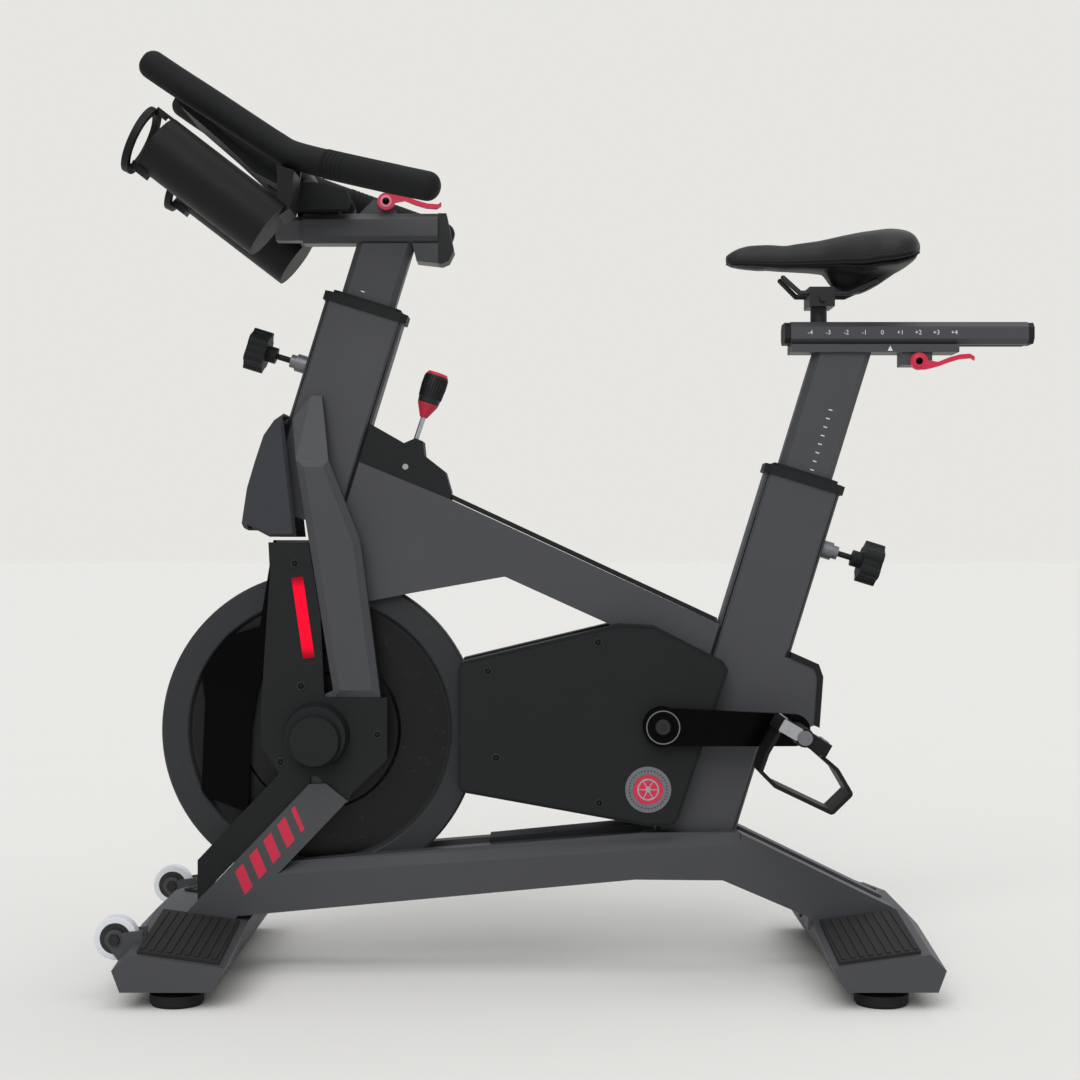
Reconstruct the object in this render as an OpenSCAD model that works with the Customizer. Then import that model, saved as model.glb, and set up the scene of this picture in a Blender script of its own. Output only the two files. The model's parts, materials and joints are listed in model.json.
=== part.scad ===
// Indoor exercise bike with a belt-driven flywheel and a magnetic brake.
// Millimetres, +Z up, rider facing -X, rider's left on -Y.
// Origin: middle of the footprint, on the floor.

/* [Frame] */
// Distance between the front and rear lines of feet
foot_span = 872; // [700:1:1050]
// Middle of the feet, measured from the origin
foot_mid_x = -65; // [-100:1:-30]
// Length of each stabiliser bar, across the bike
stabiliser_len = 500; // [400:1:620]
// Width over the outer faces of the base rails and fork
frame_w = 120; // [110:1:150]
// Width of the central tubes, across the bike
spine_w = 52; // [46:1:64]
// Depth of the base rails
rail_depth = 60; // [50:1:75]
// Width of the chamfers on the frame tubes
frame_chamfer = 12; // [4:1:14]
// Wall of the frame tubes
tube_wall = 3; // [2:0.5:4]
// Lean of the head tube and seat tube, degrees from upright
lean = 17.2; // [14:0.1:20]

/* [Flywheel and brake] */
// Height of the flywheel axle
hub_z = 319; // [300:1:380]
// Diameter of the flywheel
flywheel_d = 426; // [350:1:430]
// Thickness of the flywheel rim
rim_t = 28; // [20:1:30]
// Radial width of the flywheel rim
rim_w = 36; // [20:1:60]
// Diameter of the fixed axle
axle_d = 17; // [15:1:24]

/* [Crank and pedals] */
// Length of each crank arm, axle to pedal
crank_len = 172; // [145:1:206]
// Diameter of the crank axle
crank_axle_d = 20; // [17:1:24]
// Distance from the middle plane to the outer face of each crank arm
crank_face_y = 84; // [82:1:100]
// Diameter of the drive pulley
drive_pulley_d = 190; // [160:1:200]
// Diameter of the flywheel pulley
driven_pulley_d = 62; // [56:1:74]
// Width of the belt
belt_w = 9; // [6:0.5:10]
// Thickness of the belt
belt_t = 3; // [2:0.5:4]
// Width of the pedal platform, across the bike
pedal_w = 88; // [75:1:105]

/* [Seat] */
// Depth of the seat post and bar post, fore and aft
post_depth = 74; // [62:1:80]
// Width of the seat post and bar post, across the bike
post_w = 38; // [32:1:38]
// Length of the seat slider tube
slider_len = 318; // [265:1:380]
// Width of the seat slider tube
slider_w = 48; // [40:1:58]
// Height of the seat slider tube
slider_h = 30; // [25:1:36]
// Length of the saddle
saddle_len = 264; // [240:1:300]
// Width of the saddle at the back
saddle_w = 166; // [140:1:200]

/* [Handlebar] */
// Distance between the middle lines of the two hand grips
grip_span = 240; // [200:1:288]
// Width of the handlebar over its rear ends
bar_span = 430; // [360:1:516]
// Diameter of the padded grips
grip_d = 38; // [32:1:42]
// Diameter of the bar inside the grips
bar_d = 25.4; // [22:0.1:28]
// Inner diameter of the bottle holders
bottle_d = 72; // [60:1:80]

/* [Fittings] */
// Diameter of the levelling feet
foot_d = 67; // [50:1:80]
// Height of the rubber part of each foot
foot_h = 15; // [10:1:20]
// Diameter of the transport wheels
wheel_d = 54; // [40:1:56]
// Diameter of the star knobs
knob_d = 57; // [46:1:66]
// Diameter of the pull pins in the star knobs
pin_d = 8; // [6:0.5:10]

/* [Fits] */
// Radial clearance of shafts that turn in bores
fit = 0.08; // [0.05:0.01:0.1]
// Gap between parts that slide or pass each other
slide_gap = 0.4; // [0.35:0.05:0.5]

/* [Hidden] */
$fn = 64;

// ---- Derived places --------------------------------------------------------
side_y = frame_w / 2;                   // outer face of rails and fork
spine_y = spine_w / 2;                  // outer face of the central tubes
fork_in_y = spine_y + 13;               // inner face of the fork legs
front_x = foot_mid_x - foot_span / 2;   // front line of feet
rear_x = foot_mid_x + foot_span / 2;    // rear line of feet
stab_z = 21.5;                          // underside of the stabilisers
stab_mid_rise = 21;                     // the stabilisers' rise towards the middle
foot_y = stabiliser_len / 2 - 35;       // middle of each foot, from the middle plane

hub_x = front_x + 154.5;                // flywheel axle
crank_x = hub_x + 456;                  // crank axle
crank_z = 329;
wheel_r = flywheel_d / 2;
rim_y = rim_t / 2;
belt_y = spine_y + 1.5;                 // inner edge of the belt
wheel_slot_r = wheel_r + 8;             // room for the flywheel in the frame
wheel_slot_y = rim_y + 4;

head_x = hub_x + 87.5;                  // where the bar post axis meets head_z
head_z = 971;
seat_x = crank_x + 245.5;               // where the seat post axis meets seat_z
seat_z = 825.5;
head_depth = 108;                       // depth of the head tube, fore and aft
seat_depth = 103;                       // depth of the seat tube, fore and aft
collar_drop = 95;                       // bar sleeve down to the head collar
seat_drop = 184;                        // seat slider down to the seat collar
head_tube_len = 290;
head_pin_drop = 186;                    // bar sleeve down to the front pull pin
seat_pin_drop = 259;                    // seat slider down to the rear pull pin

sleeve_len = 181;                       // bar sleeve on top of the bar post
sleeve_w = 48;
sleeve_h = 40;
sleeve_x0 = head_x - 110.5;
inner_bar_len = 164;
inner_bar_out = 37;                     // the inner bar's reach in front of the sleeve

cradle_h = 10;                          // cradle under the seat slider
slider_z = seat_z + 1 + cradle_h;       // underside of the slider tube
slider_x0 = seat_x - 70.5;              // front end of the slider tube
slider_wall = 4;
stub_x = slider_x0 + 40;                // saddle stub on the slider
stub_d = 22.2;

grip_y = grip_span / 2;
grip_tip = [head_x - 292, 1187];        // front end of each grip, X and Z
grip_kink = [head_x - 115, 1069.5];     // where each grip bends
grip_end = [head_x + 66, 1016];         // rear end of each grip

lever_x = head_x + 27.5;                // pivot of the resistance lever
lever_z = 672;
lever_tilt = 18.5;
carrier_x = hub_x - 40;                 // pivot of the magnet carrier
carrier_z = hub_z + wheel_r + 30;
carrier_pin_d = 12;

pedal_x = crank_x + crank_len;          // left pedal at rest, behind the axle
pedal_x_far = crank_x - crank_len;      // right pedal at rest, ahead of it
pedal_y = crank_face_y + 8;             // inner end of the pedal body

// ---- Helpers ---------------------------------------------------------------
// A point on an axis that leans back, a given distance below [x, z]
function down(x, z, d) = [x - d * sin(lean), z - d * cos(lean)];
// The point on the line from a to b at height z
function at_z(a, b, z) = a[0] + (b[0] - a[0]) * (z - a[1]) / (b[1] - a[1]);

// An outline in the XZ plane, extruded between two Y values
module plate(y0, y1) {
    translate([0, y1, 0]) rotate([90, 0, 0]) linear_extrude(y1 - y0) children();
}

// A plate on the rider's left whose outer face has chamfered edges
module chamfer_plate(points, y_in, y_out, c) {
    hull() {
        plate(-y_out + c * 0.6, -y_in) polygon(points);
        plate(-y_out, -y_in) offset(delta = -c) polygon(points);
    }
}

// Left shape as drawn, right shape as its mirror image
module on_side(right) {
    mirror([0, right ? 1 : 0, 0]) children();
}

module both_sides() {
    children();
    mirror([0, 1, 0]) children();
}

// Rectangle with chamfered corners, centred
module eight_side(a, b, c) {
    polygon([[-a/2 + c, -b/2], [a/2 - c, -b/2], [a/2, -b/2 + c], [a/2, b/2 - c],
             [a/2 - c, b/2], [-a/2 + c, b/2], [-a/2, b/2 - c], [-a/2, -b/2 + c]]);
}

// Frame of a leaning post: local Z runs up the post from a drop below [x, z]
module leaning(x, z, drop) {
    p = down(x, z, drop);
    translate([p[0], 0, p[1]]) rotate([0, lean, 0]) children();
}

// A cylinder along Y between two Y values
module rod_y(x, z, r, y0, y1) {
    translate([x, y1, z]) rotate([90, 0, 0]) cylinder(r = r, h = y1 - y0);
}

// A bent round bar along a list of points, with a round end or joint at each
module bent_bar(points, r) {
    for (p = points) translate(p) sphere(r = r + 0.1);
    for (i = [1 : len(points) - 1]) let (a = points[i - 1], v = points[i] - a, l = norm(v))
        translate(a) rotate([0, acos(v[2] / l), atan2(v[1], v[0])]) cylinder(r = r, h = l);
}

// ---- Base ------------------------------------------------------------------
// Section of a stabiliser: s runs outwards from the line of feet
function stab_section(rise) = [[74, 48 + rise], [55, 68 + rise], [-65, 51 + rise],
                               [-47, stab_z], [64, stab_z]];

module stab_slice(dir, x, y, rise, wall) {
    translate([x, y, 0]) scale([dir, 1, 1]) plate(-0.05, 0.05)
        offset(delta = -wall) polygon(stab_section(rise));
}

// Length of bar on both sides of the middle plane, less its walls
module stab_body(dir, x, wall) {
    end_y = stabiliser_len / 2 - wall;
    hull() both_sides() stab_slice(dir, x, stab_mid_y, stab_mid_rise, wall);
    both_sides() hull() {
        stab_slice(dir, x, -stab_mid_y, stab_mid_rise, wall);
        stab_slice(dir, x, -end_y + 0.05, 0, wall);
    }
}

stab_mid_y = side_y + 6;                // half length of the raised middle

module stabiliser_bar(dir, x) {
    difference() {
        stab_body(dir, x, 0);
        difference() {
            stab_body(dir, x, tube_wall);
            // blocks inside that hold the levelling studs
            both_sides() translate([x, -foot_y, 0]) cylinder(d = stud_d + 16, h = 120);
        }
        both_sides() translate([x, -foot_y, stab_z - 1])
            cylinder(d = stud_d + 2 * slide_gap, h = stud_h + 3);
    }
}

// Bracket of a transport wheel, welded to the front stabiliser
bracket_y = foot_y - 12;                // outer face of the outer cheek
cheek_t = 4;
wheel_w = 22;
wheel_x = front_x - 80.5;
wheel_z = 76.5;
bolt_d = 8;

module wheel_bracket() {
    for (y = [-bracket_y, -bracket_y + cheek_t + wheel_w + 2])
        plate(y, y + cheek_t) difference() {
            union() {
                translate([wheel_x, wheel_z]) circle(r = 12);
                polygon([[wheel_x - 8, wheel_z - 9], [wheel_x + 10, wheel_z + 8],
                         [front_x - 45, 88], [front_x - 45, 67.5], [front_x - 74, 48]]);
            }
            translate([wheel_x, wheel_z]) circle(d = bolt_d);
        }
}

module front_stabiliser() {
    color([0.27, 0.28, 0.29]) difference() {
        union() {
            stabiliser_bar(-1, front_x);
            both_sides() wheel_bracket();
        }
        both_sides() rod_y(wheel_x, wheel_z, wheel_d / 2 + 2,
                           -bracket_y + cheek_t, -bracket_y + cheek_t + wheel_w + 2);
    }
}

module rear_stabiliser() {
    color([0.27, 0.28, 0.29]) stabiliser_bar(1, rear_x);
}

// Ribbed tread pads on the four stabiliser arms
pad_in_y = stab_mid_y + 8;
pad_out_y = stabiliser_len / 2 - 8;
pad_t = 4;

module tread_pad(dir, x) {
    arm = stabiliser_len / 2 - stab_mid_y;
    function rise(y) = stab_mid_rise * (stabiliser_len / 2 - y) / arm;
    module slice(y, grow) {
        translate([x, -y, rise(y)]) scale([dir, 1, 1]) plate(-0.05, 0.05)
            polygon([for (p = [[44, 0], [-56, 0], [-56, 1], [44, 1]])
                     [p[0], stab_z + 29.53 + 17 / 120 * (p[0] + 65) + p[1] * grow]]);
    }
    hull() {
        slice(pad_in_y, pad_t);
        slice(pad_out_y, pad_t);
    }
}

module tread_pads() {
    color([0.12, 0.12, 0.12]) both_sides() {
        tread_pad(-1, front_x);
        tread_pad(1, rear_x);
    }
}

// Levelling feet: rubber pad and threaded stud
stud_d = 12;
stud_h = 30;
stem_h = stab_z - foot_h;

module level_foot(x, y) {
    color([0.07, 0.07, 0.07]) translate([x, y, 0]) {
        cylinder(d1 = foot_d - 6, d2 = foot_d, h = 4);
        translate([0, 0, 4]) cylinder(d = foot_d, h = foot_h - 4);
        translate([0, 0, foot_h]) cylinder(d = 30, h = stem_h - slide_gap);
        translate([0, 0, foot_h]) cylinder(d = stud_d, h = stem_h + stud_h);
    }
}

module foot_front_left() { level_foot(front_x, -foot_y); }
module foot_front_right() { level_foot(front_x, foot_y); }
module foot_rear_left() { level_foot(rear_x, -foot_y); }
module foot_rear_right() { level_foot(rear_x, foot_y); }

// Transport wheels
module transport_wheel() {
    y0 = -bracket_y + cheek_t + 1;
    y1 = y0 + wheel_w;
    color([0.85, 0.86, 0.88]) difference() {
        union() {
            rod_y(wheel_x, wheel_z, wheel_d / 2, y0 + 2, y1 - 2);
            rod_y(wheel_x, wheel_z, wheel_d / 2 - 2, y0 + 1, y1 - 1);
            rod_y(wheel_x, wheel_z, 9, y0, y1);
        }
        rod_y(wheel_x, wheel_z, bolt_d / 2 + fit, y0 - 1, y1 + 1);
    }
}

module wheel_left() { transport_wheel(); }
module wheel_right() { mirror([0, 1, 0]) transport_wheel(); }

// ---- Rails and fork --------------------------------------------------------
rail_z_front = 82;                      // underside at the fork
rail_z_mid = 126;                       // underside under the crank
rail_front = [front_x + 92, rail_z_front];
rail_mid = [crank_x - 36, rail_z_mid];
rail_bend = [crank_x + 80, rail_z_mid - 1];
rail_end_x = rear_x - 47;               // where the rails land on the stabiliser

// Outline of the strut from the fork to the front stabiliser
strut_top = [hub_x + 9, 234];
strut_foot = [front_x + 20.5, 84];
strut_w = 52;
strut_dir = (strut_foot - strut_top) / norm(strut_foot - strut_top);
strut_nrm = [-strut_dir[1], strut_dir[0]];
stab_top_z = 51 + stab_mid_rise;        // inner edge of the stabiliser top
function stab_top(x, dir, x0) = stab_top_z + 17 / 120 * (dir * (x - x0) + 65);

module strut_outline() {
    a = strut_top + strut_nrm * strut_w / 2;
    b = strut_top - strut_nrm * strut_w / 2;
    intersection() {
        polygon([b, b + strut_dir * 260, a + strut_dir * 260, a - strut_dir * 19,
                 b + [22, 1]]);
        polygon([[front_x - 200, stab_top(front_x - 200, -1, front_x)],
                 [front_x + 400, stab_top(front_x + 400, -1, front_x)],
                 [front_x + 400, 400], [front_x - 200, 400]]);
    }
}

// Outline of a base rail, from the strut to the rear stabiliser
module rail_outline() {
    s = rail_depth / 60;
    difference() {
        polygon([rail_front + [-40, -4], rail_mid, rail_bend,
                 [rail_end_x - 22, 77], [rail_end_x - 22, 60], [rail_end_x + 90, 60],
                 [rail_end_x + 90, stab_top(rail_end_x + 90, 1, rear_x) + 2],
                 [rail_bend[0] + 24, rail_z_mid + 61 * s],
                 [rail_mid[0] + 10, rail_z_mid + rail_depth],
                 rail_front + [-40, 61 * s]]);
        polygon([[rear_x - 65, stab_top_z], [rear_x + 55, stab_top_z + 17],
                 [rear_x + 74, 0], [rear_x - 65, 0]]);
        offset(delta = 0.01) hull() strut_outline();
        polygon([[front_x - 74, 0], [front_x - 74, stab_top(front_x - 74, -1, front_x)],
                 [front_x + 65, stab_top_z], [front_x + 65, 0]]);
    }
}

// Long chamfer along the upper outer edge of a rail
module rail_chamfer(size) {
    hull() for (p = [rail_front + [-60, rail_depth - 1], rail_mid + [10, rail_depth],
                     [rail_bend[0] + 24, rail_z_mid + 61]])
        translate([p[0], -side_y, p[1]]) rotate([45, 0, 0])
            cube([0.1, size, size], center = true);
}

module base_rail(right) {
    color([0.27, 0.28, 0.29]) on_side(right) difference() {
        plate(-side_y, -spine_y) rail_outline();
        rail_chamfer(frame_chamfer * 1.5);
        difference() {
            plate(-side_y + tube_wall, -spine_y - tube_wall)
                offset(delta = -tube_wall) rail_outline();
            rail_chamfer(frame_chamfer * 1.5 + 2.8 * tube_wall);
        }
    }
}

module base_rail_left() { base_rail(false); }
module base_rail_right() { base_rail(true); }

// Upper fork leg, X and Z
leg_top = [hub_x - 9, 680];
leg_w = 60;

module fork(right) {
    lower = [[hub_x + 23, 366], [hub_x + 84, 366], [hub_x + 63, 529], [hub_x + 57, 574],
             [hub_x + 15, 680], [hub_x - 28, 680], [hub_x - 10, 574]];
    color([0.27, 0.28, 0.29]) on_side(right) {
        chamfer_plate(lower, fork_in_y, side_y, frame_chamfer * 0.8);
        // bent top, meeting the head tube
        hull() {
            translate([0, 0, 0]) plate(-side_y + 6, -fork_in_y)
                polygon([[hub_x + 15, 680], [hub_x - 28, 680], [hub_x - 28, 679],
                         [hub_x + 15, 679]]);
            plate(-spine_y - 14, -spine_y)
                polygon([[hub_x + 5, 766], [hub_x - 9, 766], [hub_x - 34, 735],
                         [hub_x + 10, 735]]);
        }
        // dropout plate that holds the axle
        difference() {
            plate(-fork_in_y - 9.6, -fork_in_y) polygon([[hub_x + 23, 376],
                [hub_x - 30, 350], [hub_x - 36, hub_z], [hub_x - 20, 252],
                [hub_x, 226], [hub_x + 40, 226], [hub_x + 66, 290], [hub_x + 82, 376]]);
            rod_y(hub_x, hub_z, axle_d / 2, -fork_in_y - 20, -fork_in_y + 1);
        }
        // tab that holds the pin of the magnet carrier
        difference() {
            plate(-fork_in_y - 8, -fork_in_y) polygon([[carrier_x - 14, carrier_z + 12],
                [carrier_x - 14, carrier_z - 12], [hub_x + 20, carrier_z - 30],
                [hub_x + 10, carrier_z + 12]]);
            rod_y(carrier_x, carrier_z, carrier_pin_d / 2, -fork_in_y - 9, -fork_in_y + 1);
        }
        // strut down to the stabiliser
        plate(-side_y, -fork_in_y) strut_outline();
        // spacer welded to the main beam
        plate(-fork_in_y, -spine_y) polygon([[hub_x + 22, 560], [hub_x + 46, 560],
                                             [hub_x + 28, 640], [hub_x + 4, 640]]);
    }
}

module fork_left() { fork(false); }
module fork_right() { fork(true); }

// ---- Central tubes ---------------------------------------------------------
module wheel_slot() {
    rod_y(hub_x, hub_z, wheel_slot_r, -wheel_slot_y, wheel_slot_y);
}

// Hollow leaning tube for a post; children are welded to its outside
module post_tube(x, z, top_drop, len, depth) {
    difference() {
        union() {
            leaning(x, z, top_drop + len) linear_extrude(len)
                eight_side(depth, spine_w, frame_chamfer * 0.6);
            children();
        }
        leaning(x, z, top_drop + len) translate([0, 0, tube_wall]) linear_extrude(len)
            square([depth - 2 * tube_wall, spine_w - 2 * tube_wall], center = true);
    }
}

module pin_hole(x, z, drop, dir) {
    leaning(x, z, drop) rotate([0, dir * 90, 0]) cylinder(d = pin_d + 2 * fit, h = 200);
}

module head_tube() {
    color([0.27, 0.28, 0.29]) difference() {
        post_tube(head_x, head_z, collar_drop, head_tube_len, head_depth);
        pin_hole(head_x, head_z, head_pin_drop, -1);
    }
}

seat_tube_len = 505;

// Outer edge of the box behind the seat tube, from top to bottom
gusset_edge = [[seat_x - 72, 416], [seat_x - 40, 402], [seat_x - 36, 389],
               [seat_x - 40, 326]];

module seat_tube() {
    color([0.27, 0.28, 0.29]) difference() {
        post_tube(seat_x, seat_z, seat_drop, seat_tube_len, seat_depth) {
            // lug that carries the crank axle
            plate(-spine_y + 0.5, spine_y - 0.5) polygon([[crank_x - 34, crank_z - 30],
                [crank_x - 34, crank_z + 34], [crank_x + 30, crank_z + 59],
                [crank_x + 80, crank_z + 59], [crank_x + 60, crank_z - 60]]);
            // box behind the tube
            plate(-spine_y, spine_y) polygon(concat(gusset_edge,
                [[seat_x - 112, 300], [seat_x - 100, 420]]));
        }
        rod_y(crank_x, crank_z, shell_r, -spine_y - 1, spine_y + 1);
        pin_hole(seat_x, seat_z, seat_pin_drop, 1);
    }
}

// Main beam from the head tube to the seat tube
beam_top_a = [head_x - 68, 692];        // where its top line leaves the head tube
beam_knee = [hub_x + 175.5, 628];        // where the black strip begins
beam_top_b = [crank_x + 76, 463];
module beam_outline() {
    difference() {
        polygon([beam_top_a, beam_top_a + [-40, 18], [hub_x + 10, 600], [hub_x + 26, 520],
                 [hub_x + 60, 491], [hub_x + 123, 503], [hub_x + 248, 525],
                 [crank_x - 65, 460], [crank_x + 66, 395], [crank_x + 120, 395],
                 beam_top_b + [60, -28], beam_top_b, beam_knee]);
        tube_side(head_x, head_z, head_depth, -1);
        tube_side(seat_x, seat_z, seat_depth, 1);
    }
}

// Everything beyond the near face of a leaning tube, as an outline
module tube_side(x, z, depth, dir) {
    a = [x, z] + [-dir * depth / 2 / cos(lean), 0];
    b = a - [700 * tan(lean), 700];
    polygon([a, b, b + [dir * 400, 0], a + [dir * 400, 0]]);
}

module main_beam() {
    color([0.27, 0.28, 0.29]) difference() {
        plate(-spine_y, spine_y) difference() {
            beam_outline();
            // hollow inside, with closed walls
            offset(delta = -tube_wall) beam_outline();
        }
        wheel_slot();
    }
    color([0.27, 0.28, 0.29]) both_sides() difference() {
        plate(-spine_y, -spine_y + tube_wall) offset(delta = -tube_wall + 0.5)
            beam_outline();
        wheel_slot();
    }
}

// Raised black strips on the main beam and between the base rails
module frame_trims() {
    t = 7;
    color([0.1, 0.1, 0.11]) {
        plate(-spine_y + 3, spine_y - 3) difference() {
            polygon([beam_knee + [2, 0], beam_top_b, beam_top_b + [0, t],
                     beam_knee + [2, t]]);
            beam_outline();
            tube_side(seat_x, seat_z, seat_depth, 1);
        }
        plate(-spine_y, spine_y) polygon([[hub_x + 228, 163], [crank_x - 26, 181],
            [crank_x - 26, 193], [crank_x - 36, 194.5], [hub_x + 228, 176]]);
        plate(-spine_y - 2, spine_y + 2) difference() {
            polygon(concat(gusset_edge, [[seat_x - 33, 323], [seat_x - 28, 391],
                [seat_x - 34, 408], [seat_x - 70, 424]]));
            tube_side(seat_x, seat_z, seat_depth, -1);
        }
    }
}

// ---- Brake housing and covers ----------------------------------------------
module front_fairing() {
    outline = [[hub_x - 45, 742], [hub_x - 58, 733], [hub_x - 72, 713], [hub_x - 83, 680],
               [hub_x - 94, 643], [hub_x - 99, 610], [hub_x - 101, 596],
               [hub_x - 98, 590], [hub_x - 64, 572], [hub_x - 20, 572],
               [hub_x - 38, 680], [hub_x - 38, 735]];
    module block(o) {
        hull() {
            plate(-side_y + 16 + o, side_y - 16 - o) offset(delta = -o) polygon(outline);
            plate(-side_y + 3 + o, side_y - 3 - o) offset(delta = -10 - o) polygon(outline);
        }
    }
    color([0.12, 0.12, 0.13]) difference() {
        block(0);
        block(3);
        // open at the back
        plate(-side_y + 8, side_y - 8) polygon([[hub_x - 46, 565], [hub_x - 46, 738],
                                                [hub_x, 738], [hub_x, 565]]);
        leaning(head_x, head_z, collar_drop + head_tube_len + 5) translate([0, 0, 150])
            cube([head_depth + 1, spine_w + 1, 330], center = true);
        on_fork_legs();
        // open underneath for the flywheel and the magnet carrier
        translate([hub_x - 92, -side_y + 8, 560]) cube([90, 2 * side_y - 16, 40]);
    }
}

// Room that the covers leave round the upper fork legs
module on_fork_legs() {
    both_sides() plate(-side_y - 1, -spine_y) offset(delta = 0.3)
        polygon([[hub_x + 23, 300], [hub_x + 84, 300], [hub_x + 63, 529],
                 [hub_x + 15, 680], [hub_x + 5, 780], [hub_x - 9, 780],
                 [hub_x - 34, 735], [hub_x - 28, 680], [hub_x - 10, 574]]);
}

module lever_housing() {
    outline = [[lever_x - 106, 750.5], [head_x - 23, 731.5], [head_x + 25.7, 703.7],
               [head_x + 41, 710.3], [head_x + 51, 706], [head_x + 53, 687],
               [head_x + 81, 665], [head_x + 88.5, 639], beam_knee,
               beam_top_a, beam_top_a + [-40, 18]];
    color([0.12, 0.12, 0.13]) difference() {
        plate(-spine_y, spine_y) difference() {
            polygon(outline);
            tube_side(head_x, head_z, head_depth, -1);
            beam_outline();
        }
        plate(-spine_y + 3, spine_y - 3) difference() {
            offset(delta = -3) polygon(outline);
            tube_side(head_x + 3.2, head_z, head_depth, -1);
        }
        // slot for the resistance lever
        translate([lever_x + 7, 0, 712]) cube([34, 12, 60], center = true);
        rod_y(lever_x, lever_z, 4, -spine_y - 1, spine_y + 1);
    }
}

cover_y = fork_in_y + 10;               // inner face of the fork covers
boss_r = 44;

module cover_outline() {
    difference() {
        union() {
            // panel in front of the upper leg
            polygon([[hub_x - 64, 571], [hub_x - 62, 530], [hub_x - 68, 442],
                     [hub_x - 73, 362], [hub_x - 74.5, 303], [hub_x - 47, 262],
                     [hub_x + 10, 262], [hub_x + 10, 366], [hub_x, 571]]);
            // lobe behind the hub
            polygon([[hub_x, 366], [hub_x, 262], [hub_x + 38, 231], [hub_x + 93, 284],
                     [hub_x + 93, 366]]);
            // strip along the strut
            polygon([[hub_x - 47, 268], [hub_x - 9, 262], [hub_x - 9, 252],
                     [front_x - 3, 84], [front_x - 3, 151]]);
        }
        offset(delta = 0.4) polygon([[hub_x + 23, 366], [hub_x + 200, 366],
            [hub_x + 63, 529], [hub_x + 57, 574], [hub_x - 11.4, 574]]);
        offset(delta = 0.4) strut_outline();
    }
}

module fork_cover(right) {
    color([0.11, 0.11, 0.12]) on_side(right) difference() {
        union() {
            plate(-cover_y - 6, -cover_y) cover_outline();
            // tapered hub cap with a raised face
            translate([hub_x, -cover_y - 5, hub_z - 3]) rotate([90, 0, 0])
                cylinder(r1 = boss_r, r2 = boss_r - 4, h = 26);
            translate([hub_x, -cover_y - 30, hub_z - 8]) rotate([90, 0, 0])
                cylinder(r1 = boss_r - 9, r2 = boss_r - 12, h = 12);
        }
        rod_y(hub_x, hub_z, 17, -cover_y - 24, -cover_y + 1);
        plate(-cover_y - 7, -cover_y - 3) led_outline(0.2);
    }
}

module fork_cover_left() { fork_cover(false); }
module fork_cover_right() { fork_cover(true); }

// Strip light in each fork cover
led_top = [-26, 525];
led_foot = [-10.5, 418];
module led_outline(grow) {
    v = (led_foot - led_top) / norm(led_foot - led_top);
    n = [-v[1], v[0]] * (7.5 + grow);
    a = led_top + [hub_x, 0] - v * grow;
    b = led_foot + [hub_x, 0] + v * grow;
    polygon([a + n, b + n, b - n, a - n]);
}

module led_strips() {
    color([0.95, 0.05, 0.15]) both_sides() plate(-cover_y - 6.6, -cover_y - 3.2)
        led_outline(0);
}

// Belt guards: deep trays that open towards the frame
guard_y = 62;
guard_t = 3;

module guard_outline() {
    polygon([[crank_x - 265, crank_z + 84], [crank_x - 56, crank_z + 134],
             [crank_x - 19, crank_z + 132], [crank_x - 9, crank_z + 131],
             [crank_x + 81, crank_z + 85], [crank_x + 88, crank_z + 73],
             [crank_x + 74, crank_z + 32], [crank_x + 22, crank_z - 123],
             [crank_x + 13, crank_z - 133], [crank_x - 19, crank_z - 132.5],
             [crank_x - 264, crank_z - 88], [crank_x - 270, crank_z - 80],
             [crank_x - 270, crank_z + 74]]);
}

// The drive side reaches forward over the belt, up to the fork
module guard_outline_right() {
    guard_outline();
    polygon([[crank_x - 262, crank_z + 76], [crank_x - 262, crank_z - 84],
             [crank_x - 352, crank_z - 50], [crank_x - 352, crank_z + 44]]);
    translate([crank_x, crank_z]) circle(r = drive_pulley_d / 2 + belt_t + 12, $fn = 96);
}

module guard(right) {
    color([0.11, 0.11, 0.12]) on_side(right) difference() {
        union() {
            plate(-guard_y + 4, -spine_y - 0.5)
                if (right) guard_outline_right(); else guard_outline();
            plate(-guard_y, -spine_y - 0.5) offset(delta = -4)
                if (right) guard_outline_right(); else guard_outline();
        }
        plate(-guard_y + guard_t, -spine_y) difference() {
            offset(delta = -guard_t - 4)
                if (right) guard_outline_right(); else guard_outline();
            for (p = screw_places) translate(p) circle(r = 5);
        }
        rod_y(crank_x, crank_z, shell_r + 4, -guard_y - 1, -spine_y);
        if (right) plate(-belt_y - belt_w - 2, -belt_y + 1) belt_path(belt_t + 3);
        for (p = screw_places) rod_y(p[0], p[1], screw_d / 2, -guard_y - 1, -guard_y + 18);
    }
}

module guard_left() { guard(false); }
module guard_right() { guard(true); }

// Panel screws and wheel bolts
screw_d = 4;
screw_places = [[crank_x - 229.5, crank_z + 72], [crank_x - 84.5, crank_z + 110],
                [crank_x - 219, crank_z - 42], [crank_x - 83, crank_z - 101.5]];
cover_screw_places = [[hub_x - 29, 543], [hub_x - 21, 381], [hub_x - 48, 281],
                      [hub_x + 80, 317]];

module panel_screw(p, y) {
    rod_y(p[0], p[1], screw_d / 2, -y, -y + 14);
    translate([p[0], -y, p[1]]) rotate([90, 0, 0]) cylinder(r1 = 4, r2 = 3, h = 1.6);
}

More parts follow.
